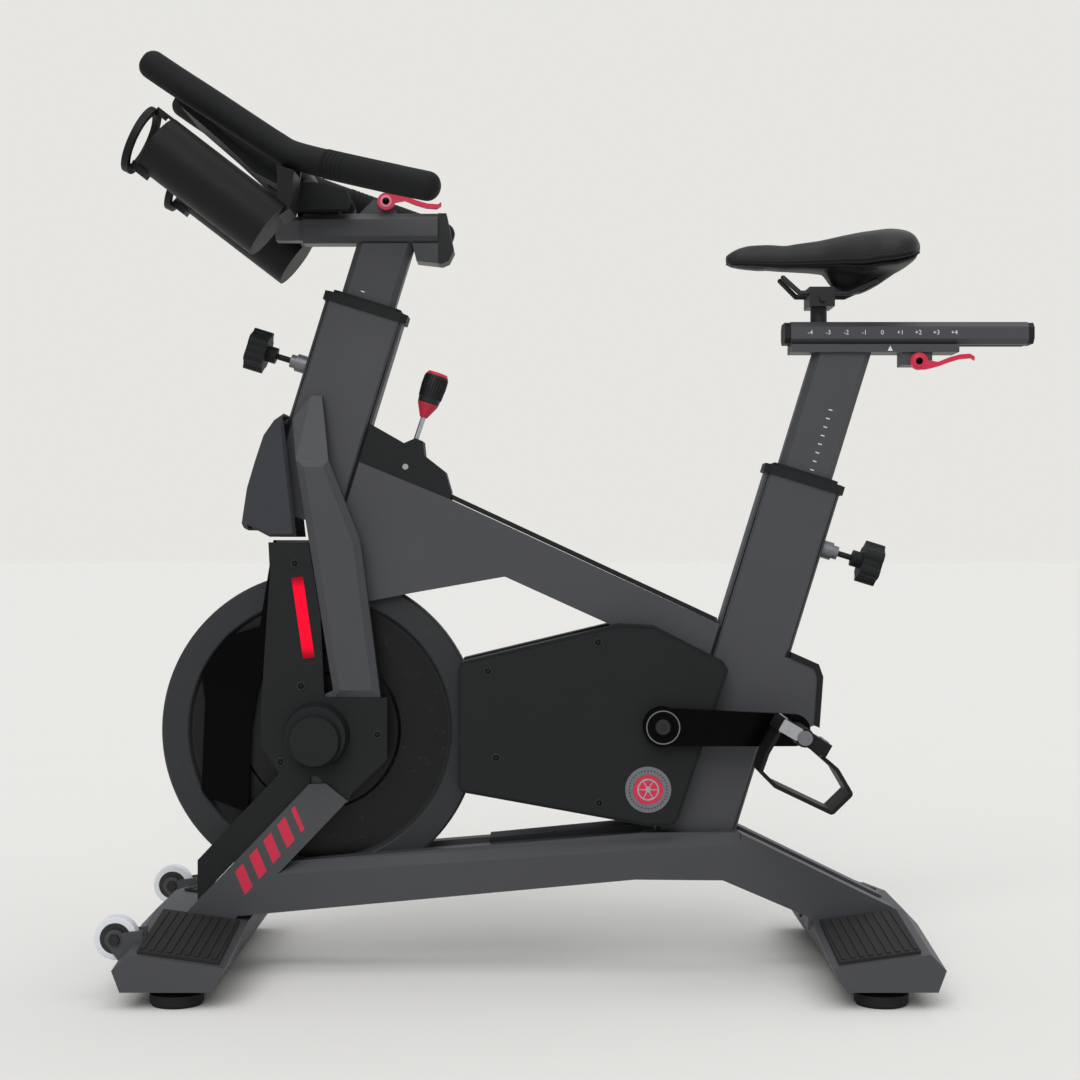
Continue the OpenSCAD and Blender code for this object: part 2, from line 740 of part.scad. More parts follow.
module fasteners() {
    color([0.15, 0.15, 0.16]) rod_y(carrier_x, carrier_z, carrier_pin_d / 2,
                                    -fork_in_y - 8, fork_in_y + 8);
    color([0.15, 0.15, 0.16]) both_sides() {
        for (p = screw_places) panel_screw(p, guard_y);
        for (p = cover_screw_places)
            translate([p[0], -cover_y - 6, p[1]]) rotate([90, 0, 0])
                cylinder(r1 = 4, r2 = 3, h = 1.6);
        // wheel bolt with its hexagon head and nut
        rod_y(wheel_x, wheel_z, bolt_d / 2, -bracket_y, -bracket_y + 2 * cheek_t + wheel_w + 2);
        translate([wheel_x, -bracket_y, wheel_z]) rotate([90, 0, 0])
            cylinder(r = 7.5, h = 5, $fn = 6);
        translate([wheel_x, -bracket_y + 2 * cheek_t + wheel_w + 7, wheel_z])
            rotate([90, 0, 0]) cylinder(r = 7.5, h = 5, $fn = 6);
    }
}

// ---- Drive train -----------------------------------------------------------
shell_r = 22;
shell_y = spine_y + 8;
bearing_w = 12;
bearing_r = 19;

module crank_shell() {
    color([0.3, 0.31, 0.32]) difference() {
        rod_y(crank_x, crank_z, shell_r, -shell_y, spine_y);
        rod_y(crank_x, crank_z, bearing_r, -shell_y - 1, -shell_y + bearing_w);
        rod_y(crank_x, crank_z, bearing_r, spine_y - bearing_w, spine_y + 1);
        rod_y(crank_x, crank_z, crank_axle_d / 2 + 3, -shell_y, spine_y);
    }
}

module ring_bearing(x, z, r_out, bore, y0, y1) {
    difference() {
        rod_y(x, z, r_out, y0, y1);
        rod_y(x, z, bore / 2, y0 - 1, y1 + 1);
    }
}

hub_bearing_r = 20;
hub_bearing_w = 10;
hub_half = 20;                          // half length of the hub

module bearings() {
    color([0.7, 0.71, 0.72]) {
        ring_bearing(crank_x, crank_z, bearing_r, crank_axle_d + 2 * fit,
                     -shell_y, -shell_y + bearing_w);
        ring_bearing(crank_x, crank_z, bearing_r, crank_axle_d + 2 * fit,
                     spine_y - bearing_w, spine_y);
        both_sides() ring_bearing(hub_x, hub_z, hub_bearing_r - fit, axle_d,
                                  -hub_half, -hub_half + hub_bearing_w);
    }
}

module crank_axle() {
    color([0.6, 0.61, 0.62]) {
        rod_y(crank_x, crank_z, crank_axle_d / 2, -crank_face_y + 16, crank_face_y - 16);
    }
}

// Crank arm from the axle to the pedal, drawn for the left side at rest
arm_t = 16;
module crank_arm(x_end, dir) {
    y_out = crank_face_y;
    color([0.06, 0.06, 0.07]) difference() {
        union() {
            hull() {
                rod_y(crank_x, crank_z, 25, -y_out + 3, -y_out + arm_t);
                rod_y(x_end, crank_z - 4, 21, -y_out + 4, -y_out + arm_t - 2);
            }
            rod_y(crank_x, crank_z, 26, -y_out, -y_out + 6);
            // pedal spindle, screwed into the arm
            rod_y(x_end, crank_z - 4, 11, -pedal_y + 0.5, -y_out + 5);
            rod_y(x_end, crank_z - 4, spindle_r, -pedal_y - pedal_w + 9, -pedal_y + 1);
        }
        rod_y(crank_x, crank_z, 14, -y_out - 1, -y_out + 4);
    }
}

spindle_r = 6;
module crank_left() { crank_arm(pedal_x, 1); }
module crank_right() { mirror([0, 1, 0]) crank_arm(pedal_x_far, -1); }

module belt_path(grow) {
    hull() {
        translate([crank_x, crank_z]) circle(d = drive_pulley_d + 2 * grow, $fn = 96);
        translate([hub_x, hub_z]) circle(d = driven_pulley_d + 2 * grow, $fn = 64);
    }
}

module drive_pulley() {
    y0 = belt_y;
    y1 = belt_y + belt_w + 1;
    color([0.16, 0.16, 0.17]) difference() {
        union() {
            rod_y(crank_x, crank_z, drive_pulley_d / 2, y0, y1);
            rod_y(crank_x, crank_z, drive_pulley_d / 2 + 3, y0 - 0.8, y0);
            rod_y(crank_x, crank_z, crank_axle_d / 2 + 8, y0, y1 + 6);
        }
        for (a = [0 : 60 : 300]) rotate_about(crank_x, crank_z, a)
            rod_y(crank_x + drive_pulley_d * 0.32, crank_z, drive_pulley_d * 0.11,
                  y0 - 2, y1 + 1);
        rod_y(crank_x, crank_z, crank_axle_d / 2, y0 - 2, y1 + 8);
    }
}

module rotate_about(x, z, a) {
    translate([x, 0, z]) rotate([0, a, 0]) translate([-x, 0, -z]) children();
}

module drive_belt() {
    color([0.05, 0.05, 0.05]) plate(belt_y + 0.3, belt_y + 0.3 + belt_w) difference() {
        belt_path(slide_gap + belt_t);
        belt_path(slide_gap);
    }
}

module flywheel_axle() {
    end = fork_in_y + 10;
    color([0.62, 0.63, 0.64]) {
        rod_y(hub_x, hub_z, axle_d / 2, -end - 9, end + 9);
        // nuts outside the dropouts, spacers inside them
        both_sides() {
            difference() {
                translate([hub_x, -end, hub_z]) rotate([90, 0, 0])
                    cylinder(r = 14, h = 9, $fn = 6);
                rod_y(hub_x, hub_z, axle_d / 2 - 0.1, -end - 10, -end + 1);
            }
            difference() {
                rod_y(hub_x, hub_z, axle_d / 2 + 3, -fork_in_y, -hub_half - 0.1);
                rod_y(hub_x, hub_z, axle_d / 2 - 0.1, -fork_in_y - 1, -hub_half + 1);
            }
        }
    }
}

module flywheel_hub() {
    y1 = belt_y + belt_w + 1;
    color([0.3, 0.31, 0.32]) difference() {
        union() {
            rod_y(hub_x, hub_z, 29, -hub_half, hub_half);
            rod_y(hub_x, hub_z, 48, -rim_y + 8, rim_y - 8);
            rod_y(hub_x, hub_z, driven_pulley_d / 2, hub_half, y1);
        }
        rod_y(hub_x, hub_z, hub_bearing_r, -hub_half - 1, -hub_half + hub_bearing_w);
        rod_y(hub_x, hub_z, hub_bearing_r, hub_half - hub_bearing_w, y1 + 1);
        rod_y(hub_x, hub_z, axle_d / 2 + 1, -hub_half, hub_half);
    }
}

// Flywheel: heavy rim, thin web and stepped inner ring
web_y = 6;
module flywheel() {
    color([0.2, 0.21, 0.22]) translate([hub_x, 0, hub_z]) rotate([90, 0, 0])
        rotate_extrude($fn = 128) polygon([
            [48, -web_y], [48, web_y], [74, web_y], [78, web_y + 5], [104, web_y + 5],
            [108, web_y], [wheel_r - rim_w - 4, web_y], [wheel_r - rim_w, rim_y - 1],
            [wheel_r - rim_w + 2, rim_y], [wheel_r - 3, rim_y], [wheel_r, rim_y - 3],
            [wheel_r, -rim_y + 3], [wheel_r - 3, -rim_y], [wheel_r - rim_w + 2, -rim_y],
            [wheel_r - rim_w, -rim_y + 1], [wheel_r - rim_w - 4, -web_y], [108, -web_y],
            [104, -web_y - 5], [78, -web_y - 5], [74, -web_y]]);
}

// Magnet carrier: two plates beside the web, joined by a pivot block above the rim
carrier_in = rim_y + 3;
carrier_t = 4;
module carrier_outline() {
    polygon([[carrier_x - 22, carrier_z + 12], [carrier_x + 14, carrier_z + 12],
             [carrier_x + 14, carrier_z - 40], [hub_x - 70, hub_z + 96],
             [hub_x - 84, hub_z + 50], [hub_x - 92, hub_z], [hub_x - 96, hub_z - 110],
             [hub_x - 150, hub_z - 90], [hub_x - 158.5, hub_z - 80],
             [hub_x - 153.5, hub_z + 40], [hub_x - 158.5, hub_z + 75],
             [hub_x - 125, hub_z + 125], [hub_x - 80, hub_z + 140]]);
}

module magnet_carrier() {
    color([0.14, 0.14, 0.15]) difference() {
        union() {
            both_sides() plate(-carrier_in - carrier_t, -carrier_in) carrier_outline();
            plate(-carrier_in, carrier_in) polygon([[carrier_x - 22, carrier_z + 12],
                [carrier_x + 14, carrier_z + 12], [carrier_x + 14, carrier_z - 14],
                [carrier_x - 22, carrier_z - 14]]);
            // magnets facing the web
            for (a = [150 : 20 : 210]) both_sides()
                rod_y(hub_x + 128 * cos(a), hub_z + 128 * sin(a), 13, -carrier_in,
                      -web_y - 6.5);
        }
        rod_y(carrier_x, carrier_z, carrier_pin_d / 2 + fit, -fork_in_y, fork_in_y);
    }
}

// ---- Resistance lever ------------------------------------------------------
module on_lever() {
    translate([lever_x, 0, lever_z]) rotate([0, lever_tilt, 0]) children();
}

module lever_rod() {
    color([0.75, 0.76, 0.77]) {
        rod_y(lever_x, lever_z, 4 - fit, -spine_y + 0.5, spine_y - 0.5);
        on_lever() {
            cylinder(d = 7, h = 92);
            translate([0, 0, 0]) rotate([90, 0, 0]) translate([0, 0, -8])
                cylinder(r = 10, h = 16);
        }
    }
}

module lever_knob() {
    color([0.08, 0.08, 0.08]) on_lever() translate([0, 0, 77]) rotate_extrude()
        polygon([[3.5, -6], [5, -6], [14, 12], [15, 20], [16.5, 38], [16, 52], [13, 57],
                 [0, 58], [0, 15], [3.5, 15]]);
}

// ---- Pull-pin adjusters ----------------------------------------------------
// Local frame: Z runs out of the tube face through the pin
module at_pin(x, z, drop, depth, dir) {
    leaning(x, z, drop) rotate([0, dir * 90, 0]) translate([0, 0, depth / 2]) children();
}

module pin_boss() {
    difference() {
        union() {
            cylinder(r = 12, h = 15);
            translate([0, 0, 15]) cylinder(r = 9, h = 8);
        }
        translate([0, 0, -1]) cylinder(d = pin_d + 2 * fit, h = 30);
    }
}

module pin_bosses() {
    color([0.45, 0.46, 0.48]) {
        at_pin(head_x, head_z, head_pin_drop, head_depth, -1) pin_boss();
        at_pin(seat_x, seat_z, seat_pin_drop, seat_depth, 1) pin_boss();
    }
}

// Star knob with its pin; the pin tip runs in the slot of the post
module star_knob(depth) {
    color([0.09, 0.09, 0.09]) {
        reach = (depth - post_depth) / 2 + 2;
        translate([0, 0, -reach]) cylinder(d = pin_d, h = reach + 46);
        translate([0, 0, 43]) cylinder(r = 11, h = 14);
        translate([0, 0, 56]) difference() {
            union() {
                cylinder(d = knob_d - 8, h = 26);
                for (a = [0 : 60 : 300]) rotate([0, 0, a])
                    translate([knob_d / 2 - 9, 0, 0]) cylinder(r = 9, h = 26, $fn = 32);
            }
            translate([0, 0, 22]) cylinder(r = 9, h = 5);
        }
    }
}

module front_knob() {
    at_pin(head_x, head_z, head_pin_drop, head_depth, -1) star_knob(head_depth);
}

module rear_knob() {
    at_pin(seat_x, seat_z, seat_pin_drop, seat_depth, 1) star_knob(seat_depth);
}

// Collar: cap on the tube and a liner that guides the post
module collar(depth) {
    in_d = post_depth + 2 * slide_gap;
    in_w = post_w + 2 * slide_gap;
    color([0.1, 0.1, 0.11]) difference() {
        union() {
            linear_extrude(12) eight_side(depth + 8, spine_w + 6, frame_chamfer * 0.7);
            translate([0, 0, 12]) linear_extrude(4)
                eight_side(depth - 14, spine_w, frame_chamfer * 0.5);
            translate([0, 0, -60]) linear_extrude(61)
                square([depth - 2 * tube_wall, spine_w - 2 * tube_wall], center = true);
        }
        translate([0, 0, -61]) linear_extrude(80) square([in_d, in_w], center = true);
    }
}

module head_collar() { leaning(head_x, head_z, collar_drop) collar(head_depth); }
module seat_collar() { leaning(seat_x, seat_z, seat_drop) collar(seat_depth); }

// Hollow post with a slot in one face for the pull pin
module post(len, slot_from, slot_len, dir) {
    difference() {
        translate([0, 0, -len]) linear_extrude(len) difference() {
            eight_side(post_depth, post_w, 8);
            eight_side(post_depth - 2 * tube_wall, post_w - 2 * tube_wall, 6);
        }
        translate([dir * post_depth / 2, 0, -slot_from - slot_len / 2])
            cube([12, pin_d + 2, slot_len], center = true);
    }
}

// ---- Seat ------------------------------------------------------------------
seat_down = 150;                        // travel below the height at rest
seat_up = 70;                           // travel above it
seat_post_len = 410;
cradle_len = 224;
t_len = 90;                             // length of the guide inside the slider
t_x = slider_x0 + 119.5;                // middle of that guide

module seat_post() {
    head = [slider_x0 + 1, seat_z];
    color([0.3, 0.31, 0.32]) {
        difference() {
            leaning(seat_x, seat_z, 0) translate([0, 0, 40])
                post(seat_post_len + 40, seat_pin_drop - seat_down - 10 + 40,
                     seat_down + seat_up + 20, 1);
            translate([seat_x, 0, seat_z + 100]) cube([400, 100, 200], center = true);
        }
        // cradle with a T guide that runs inside the slider
        translate([head[0], -slider_w / 2, seat_z])
            cube([cradle_len, slider_w, cradle_h + 1 - slide_gap]);
        translate([t_x - t_len / 2, -6, seat_z + cradle_h])
            cube([t_len, 12, slider_wall + 3]);
        translate([t_x - t_len / 2, -15, slider_z + slider_wall + slide_gap])
            cube([t_len, 30, 6]);
        // block that carries the clamp lever
        difference() {
            translate([t_x + 30, -20, seat_z - 17]) cube([40, 40, 17.1]);
            rod_y(seat_hub[0], seat_hub[1], 3 - fit, -21, 21);
        }
        rod_y(seat_hub[0], seat_hub[1], 3 - fit, -29, 21);
    }
}

module slider_section() {
    translate([0, slider_h / 2]) eight_side(slider_w, slider_h, 7);
}

module along_x(x, len) {
    translate([x, 0, 0]) rotate([90, 0, 90]) linear_extrude(len) children();
}

module seat_slider() {
    color([0.3, 0.31, 0.32]) translate([0, 0, slider_z])
        along_x(slider_x0, slider_len) difference() {
            slider_section();
            translate([0, slider_h / 2])
                eight_side(slider_w - 2 * slider_wall, slider_h - 2 * slider_wall, 5);
            translate([-6 - slide_gap, -1]) square([12 + 2 * slide_gap, slider_wall + 2]);
        }
}

module slider_caps() {
    color([0.1, 0.1, 0.11]) translate([0, 0, slider_z]) {
        along_x(slider_x0 - 8, 8) translate([0, slider_h / 2])
            eight_side(slider_w - 2, slider_h - 2, 7);
        along_x(slider_x0 + slider_len, 8) translate([0, slider_h / 2])
            eight_side(slider_w - 2, slider_h - 2, 7);
    }
}

// Clamp lever: hub, S-shaped arm and flat tip, drawn from its hub at the origin
module clamp_lever(dir) {
    color([0.8, 0.12, 0.25]) rotate([90, 0, 0]) difference() {
        union() {
            cylinder(r = 11.5, h = 8);
            linear_extrude(8) polygon([[0, -dir * 11.3], [10, -dir * 11], [26, -dir * 7],
                [42, -dir * 1], [56, dir * 3], [70, dir * 4], [74, dir * 1],
                [74, dir * 6], [68, dir * 10], [54, dir * 9], [40, dir * 5],
                [25, -dir * 1], [8, dir * 2]]);
        }
        translate([0, 0, -1]) cylinder(r = 3, h = 10);
    }
}

seat_hub = [t_x + 51, seat_z - 12.5];
module seat_lever() {
    translate([seat_hub[0], -20.3, seat_hub[1]]) clamp_lever(1);
}

clamp_z = slider_z + slider_h;          // top of the slider
rail_z = clamp_z + 38;                  // saddle rails
saddle_rail = [[stub_x - 50, -17, rail_z + 21], [stub_x - 28, -22, rail_z],
               [stub_x + 38, -22, rail_z], [stub_x + 72, -34, rail_z + 16]];
module saddle_clamp() {
    color([0.06, 0.06, 0.06]) {
        translate([stub_x, 0, clamp_z]) cylinder(d = stub_d, h = 30);
        // clamp cradle round the rails
        translate([stub_x - 16, -28, clamp_z + 20]) cube([34, 56, 26]);
        rod_y(stub_x + 1, clamp_z + 30, 4, -34, 34);
        // two steel rails, bent up into the saddle base at both ends
        both_sides() {
            for (i = [0 : 2]) hull() for (p = [saddle_rail[i], saddle_rail[i + 1]])
                translate(p) sphere(r = 3.5, $fn = 16);
        }
    }
}

// Saddle: padded body, lofted along X
saddle_x0 = stub_x - 130;
saddle_top = [[0, 958], [10, 966], [24, 970], [84, 972.5], [132, 977], [180, 986],
              [228, 991.5], [246, 990], [258, 982], [264, 968]];
saddle_low = [[0, 949], [10, 941], [80, 936], [120, 934], [150, 931], [180, 925],
              [225, 931], [246, 941], [258, 952], [264, 962]];
saddle_half = [[0, 8], [6, 17], [24, 22], [84, 27], [130, 40], [170, 64], [205, 80],
               [230, 83], [250, 74], [260, 52], [264, 20]];

function saddle_ring(t) =
    let (s = t * 264,
         top = lookup(s, saddle_top), low = lookup(s, saddle_low),
         half = lookup(s, saddle_half) * saddle_w / 166,
         mid = (top + low) / 2, high = (top - low) / 2)
    [for (i = [0 : 23]) let (a = i * 15, c = cos(a), n = sin(a))
        [saddle_x0 + t * saddle_len, half * sign(c) * pow(abs(c), 0.8),
         seat_z - 825.5 + mid + high * sign(n) * pow(abs(n), 0.7)]];

module loft(rings) {
    n = len(rings[0]);
    m = len(rings);
    polyhedron(points = [for (r = rings) each r],
        faces = concat([[for (i = [0 : n - 1]) i]],
            [for (j = [0 : m - 2], i = [0 : n - 1])
                [j * n + i, (j + 1) * n + i, (j + 1) * n + (i + 1) % n, j * n + (i + 1) % n]],
            [[for (i = [n - 1 : -1 : 0]) (m - 1) * n + i]]));
}

module saddle() {
    color([0.08, 0.08, 0.08])
        loft([for (t = [0, 0.02, 0.05, 0.1, 0.2, 0.3, 0.4, 0.5, 0.6, 0.7, 0.8, 0.88, 0.94,
                        0.98, 1]) saddle_ring(t)]);
}

// ---- Handlebar -------------------------------------------------------------
bar_post_len = 290;
bar_down = 60;
bar_up = 80;
sleeve_z = head_z + 1;
bar_hub = [head_x + 1, sleeve_z + sleeve_h + 16];
inner_h = 32;
inner_w = 36;
sleeve_in_z = sleeve_z + 4;

module bar_post() {
    color([0.3, 0.31, 0.32]) {
        difference() {
            leaning(head_x, head_z, 0) translate([0, 0, 40])
                post(bar_post_len + 40, head_pin_drop - bar_down - 10 + 40,
                     bar_down + bar_up + 20, -1);
            translate([head_x, 0, sleeve_z + 100]) cube([400, 100, 200], center = true);
        }
        // sleeve that guides the inner bar
        translate([0, 0, sleeve_z]) along_x(sleeve_x0, sleeve_len) difference() {
            translate([0, sleeve_h / 2]) eight_side(sleeve_w, sleeve_h, 9);
            translate([0, 4 + (inner_h + 2 * slide_gap) / 2])
                square([inner_w + 2 * slide_gap, inner_h + 2 * slide_gap], center = true);
        }
        // rear cover and lever block
        plate(-19, 19) polygon([[sleeve_x0 + sleeve_len, sleeve_z + sleeve_h],
            [head_x + 82, sleeve_z + sleeve_h], [head_x + 92, sleeve_z - 10],
            [head_x + 85, sleeve_z - 24], [head_x + 76, sleeve_z - 28],
            [head_x + 42, sleeve_z - 24], [head_x + 36, sleeve_z],
            [sleeve_x0 + sleeve_len, sleeve_z]]);
        plate(-11, 11) polygon([[head_x - 36, sleeve_z + sleeve_h],
            [head_x - 16, bar_hub[1] + 4], [head_x + 6, bar_hub[1] + 4],
            [head_x + 16, sleeve_z + sleeve_h]]);
        rod_y(bar_hub[0], bar_hub[1], 3 - fit, -20, 11);
    }
}

module bar_lever() {
    translate([bar_hub[0], -11.3, bar_hub[1]]) clamp_lever(-1);
}

module bar_slider() {
    z0 = sleeve_in_z + slide_gap;
    x0 = sleeve_x0 - inner_bar_out;
    color([0.32, 0.33, 0.34]) {
        translate([0, 0, z0]) along_x(x0, inner_bar_len) translate([0, inner_h / 2])
            difference() {
                eight_side(inner_w, inner_h, 6);
                eight_side(inner_w - 6, inner_h - 6, 5);
            }
        // riser up to the cross bar
        plate(-16, 16) polygon([[x0, z0 + inner_h], [x0 + 9, z0 + inner_h],
            [x0 + 13, z0 + inner_h + 14], [grip_kink[0] + 8, grip_kink[1] - 10],
            [grip_kink[0] - 10, grip_kink[1] - 8], [x0, z0 + inner_h + 22]]);
        rod_y(grip_kink[0], grip_kink[1], bar_d / 2, -grip_y, grip_y);
    }
}

module grip() {
    bent_bar([[grip_tip[0], -grip_y + 8, grip_tip[1]], [grip_kink[0], -grip_y, grip_kink[1]],
              [grip_end[0], -bar_span / 2 + grip_d / 2, grip_end[1]]], grip_d / 2);
}

module handlebar() {
    color([0.1, 0.1, 0.1]) both_sides() difference() {
        grip();
        rod_y(grip_kink[0], grip_kink[1], bar_d / 2, -grip_y, grip_y);
    }
}

// Dark cover over the riser, with the tray that holds a phone or tablet
module stem_cover() {
    z0 = sleeve_z + sleeve_h + 1;
    color([0.1, 0.1, 0.11]) {
        difference() {
            plate(-45, 45) polygon([[head_x - 122, z0], [head_x - 50, z0],
                [head_x - 44, z0 + 12], [head_x - 50, z0 + 26], [head_x - 92, z0 + 36],
                [head_x - 122, z0 + 36]]);
            rod_y(grip_kink[0], grip_kink[1], bar_d / 2, -46, 46);
            plate(-16.3, 16.3) polygon([[head_x - 160, z0 - 30], [head_x - 100, z0 - 30],
                [head_x - 100, z0 + 60], [head_x - 160, z0 + 60]]);
            translate([head_x - 62, -24, z0 - 1]) cube([60, 48, 26]);
        }
        // tray for a tablet, below the line of the grips
        difference() {
            plate(-80, 80) polygon([[head_x - 282, 1171], [head_x - 263, 1142],
                [head_x - 211, 1097], [head_x - 166, 1055], [head_x - 118, 1030],
                [head_x - 118, 1044], [head_x - 150, 1062], [head_x - 205, 1106],
                [head_x - 276, 1173]]);
            plate(-16.3, 16.3) polygon([[head_x - 160, z0 - 30], [head_x - 100, z0 - 30],
                [head_x - 100, z0 + 60], [head_x - 160, z0 + 60]]);
            rod_y(grip_kink[0], grip_kink[1], bar_d / 2, -90, 90);
        }
    }
}

// Bottle holder: open cup with drain holes, a mouth ring and a bracket
cup_tilt = 52.5;                        // lean of the cup axis from upright
cup_len = 180;
cup_wall = 3;
cup_y = grip_y + 20;
cup_foot = [head_x - 138, 970];

module in_cup() {
    translate([cup_foot[0], -cup_y, cup_foot[1]]) rotate([0, -cup_tilt, 0]) children();
}

module bottle_holder() {
    r = bottle_d / 2;
    color([0.11, 0.11, 0.12]) difference() {
        union() {
            in_cup() {
                cylinder(r = r + cup_wall, h = cup_len);
                // mouth ring, held off the cup by a strut above and below
                translate([-8, 0, cup_len + 15]) rotate([0, -11, 0])
                    cylinder(r = r + 9, h = 9);
                translate([-r - 9, -14, cup_len - 14]) cube([10, 28, 34]);
                translate([r - 6, -9, cup_len - 14]) cube([8, 18, 40]);
            }
            // bracket to the cross bar
            difference() {
                plate(-cup_y - 10, -82) polygon([[head_x - 126, 986], [head_x - 111, 996],
                    [head_x - 109, 1004], [head_x - 104, 1062], [head_x - 128, 1062]]);
                plate(-cup_y - 11, -80) translate(grip_kink) circle(d = bar_d, $fn = 48);
                plate(-cup_y - 11, -grip_y + 8 + grip_d / 2 + 3) translate(grip_kink) hull() {
                    circle(r = grip_d / 2 + 2, $fn = 48);
                    translate([16, -4.7]) circle(r = grip_d / 2 + 2, $fn = 48);
                }
            }
        }
        in_cup() {
            translate([0, 0, cup_wall]) cylinder(r = r, h = cup_len - cup_wall + 1);
            translate([-8, 0, cup_len + 15]) rotate([0, -11, 0]) translate([0, 0, -1])
                cylinder(r = r + 0.5, h = 30);
            translate([0, 0, cup_len]) cylinder(r = r, h = 12);
            for (i = [0 : 7]) translate([0, 0, 16 + i * 20]) rotate([0, -90, 0])
                cylinder(d = 7, h = 60);
        }
    }
}

module bottle_left() { bottle_holder(); }
module bottle_right() { mirror([0, 1, 0]) bottle_holder(); }

// ---- Pedals ----------------------------------------------------------------
module pedal(x) {
    z = crank_z - 4;
    y_in = -pedal_y;
    y_out = -pedal_y - pedal_w;
    color([0.08, 0.08, 0.09]) difference() {
        union() {
            rod_y(x, z, 12, y_out, y_in);
            for (s = [-1, 1]) rotate_about(x, z, 30)
                translate([x + s * 30 - 5, y_out + 1, z - 9]) cube([10, pedal_w - 2, 18]);
            for (y = [y_out + 1, y_out + pedal_w / 2 - 4, y_in - 9]) rotate_about(x, z, 30)
                translate([x - 30, y, z - 9]) cube([60, 8, 18]);
        }
        rod_y(x, z, spindle_r + fit, y_out + 7.2, y_in + 1);
    }
}

module pedal_left() { pedal(pedal_x); }
module pedal_right() { mirror([0, 1, 0]) pedal(pedal_x_far); }

// Toe cage: a loop of flat bar, hanging below the unloaded pedal
module toe_cage(x) {
    z = crank_z - 4;
    y0 = -pedal_y - pedal_w + 10;
    loop = [[26, 0], [26, -12], [56, -18], [84, -34], [76, -62], [0, -68], [-22, -62],
            [-26, -40], [-26, 0]];
    color([0.12, 0.12, 0.12]) rotate_about(x, z, 30) translate([x, 0, z])
        plate(y0, y0 + pedal_w - 20) difference() {
            offset(r = 6, $fn = 24) polygon(loop);
            offset(r = 1, $fn = 24) polygon(loop);
            translate([-60, -9]) square([160, 60]);
        }
}

module toe_cage_left() { toe_cage(pedal_x); }
module toe_cage_right() { mirror([0, 1, 0]) toe_cage(pedal_x_far); }

// ---- Output ----------------------------------------------------------------
front_stabiliser();
rear_stabiliser();
base_rail_left();
base_rail_right();
main_beam();
head_tube();
seat_tube();
fork_left();
fork_right();
frame_trims();
front_fairing();
lever_housing();
fork_cover_left();
fork_cover_right();
led_strips();
guard_left();
guard_right();
fasteners();
crank_shell();
bearings();
tread_pads();
head_collar();
seat_collar();
pin_bosses();
flywheel_axle();
drive_belt();
flywheel();
flywheel_hub();
drive_pulley();
crank_axle();
crank_left();
crank_right();
pedal_left();
pedal_right();
toe_cage_left();
toe_cage_right();
magnet_carrier();
lever_rod();
lever_knob();
front_knob();
rear_knob();
seat_post();
seat_slider();
slider_caps();
seat_lever();
saddle_clamp();
saddle();
bar_post();
bar_lever();
bar_slider();
handlebar();
stem_cover();
bottle_left();
bottle_right();
wheel_left();
wheel_right();
foot_front_left();
foot_front_right();
foot_rear_left();
foot_rear_right();
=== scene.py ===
"""Looks of an indoor exercise bike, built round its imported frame.

The metal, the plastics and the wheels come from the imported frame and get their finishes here. The
saddle, the grips, the ribs of the tread pads, the scales, the screw sockets and the small trim are
built here, and each of them rides on the body that carries it.
"""

import json
import logging
import math
from abc import ABC, abstractmethod
from dataclasses import dataclass, field
from enum import Enum
from typing import Any, Callable, Iterable, Sequence, Union

import bmesh
import bpy
import numpy as np
from mathutils import Matrix, Vector

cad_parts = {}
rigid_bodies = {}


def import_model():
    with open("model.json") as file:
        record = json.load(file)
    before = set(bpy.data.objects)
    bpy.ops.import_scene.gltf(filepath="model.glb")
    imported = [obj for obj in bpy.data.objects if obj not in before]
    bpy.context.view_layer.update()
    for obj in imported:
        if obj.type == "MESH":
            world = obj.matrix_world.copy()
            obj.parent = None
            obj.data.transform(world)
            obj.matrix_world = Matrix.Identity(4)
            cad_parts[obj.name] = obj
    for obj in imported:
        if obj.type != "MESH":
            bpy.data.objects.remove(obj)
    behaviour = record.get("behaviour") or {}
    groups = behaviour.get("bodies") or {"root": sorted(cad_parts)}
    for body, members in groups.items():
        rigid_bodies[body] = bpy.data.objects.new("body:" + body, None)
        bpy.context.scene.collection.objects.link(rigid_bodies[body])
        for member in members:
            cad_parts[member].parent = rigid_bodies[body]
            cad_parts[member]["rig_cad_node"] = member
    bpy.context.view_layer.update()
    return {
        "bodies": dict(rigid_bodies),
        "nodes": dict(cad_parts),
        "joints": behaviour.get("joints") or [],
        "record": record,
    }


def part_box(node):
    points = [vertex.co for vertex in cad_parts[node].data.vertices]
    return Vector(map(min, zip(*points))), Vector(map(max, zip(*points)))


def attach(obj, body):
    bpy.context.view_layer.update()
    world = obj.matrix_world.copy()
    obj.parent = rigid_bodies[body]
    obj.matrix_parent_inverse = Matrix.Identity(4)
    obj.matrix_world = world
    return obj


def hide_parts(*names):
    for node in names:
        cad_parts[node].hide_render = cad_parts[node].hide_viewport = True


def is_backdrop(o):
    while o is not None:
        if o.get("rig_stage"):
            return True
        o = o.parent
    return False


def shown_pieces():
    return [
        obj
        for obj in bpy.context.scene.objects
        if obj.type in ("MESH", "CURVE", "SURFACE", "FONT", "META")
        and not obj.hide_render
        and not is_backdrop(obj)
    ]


LOG = logging.getLogger("exercise_bike")
MM = 0.001

Point = tuple[float, float, float]
Colour = tuple[float, float, float, float]


def mm(*values: float) -> Point:
    """Millimetres to metres, as a tuple.

    Args:
        values: lengths in millimetres.

    Returns:
        The lengths in metres.
    """
    return tuple(v * MM for v in values)  # type: ignore[return-value]


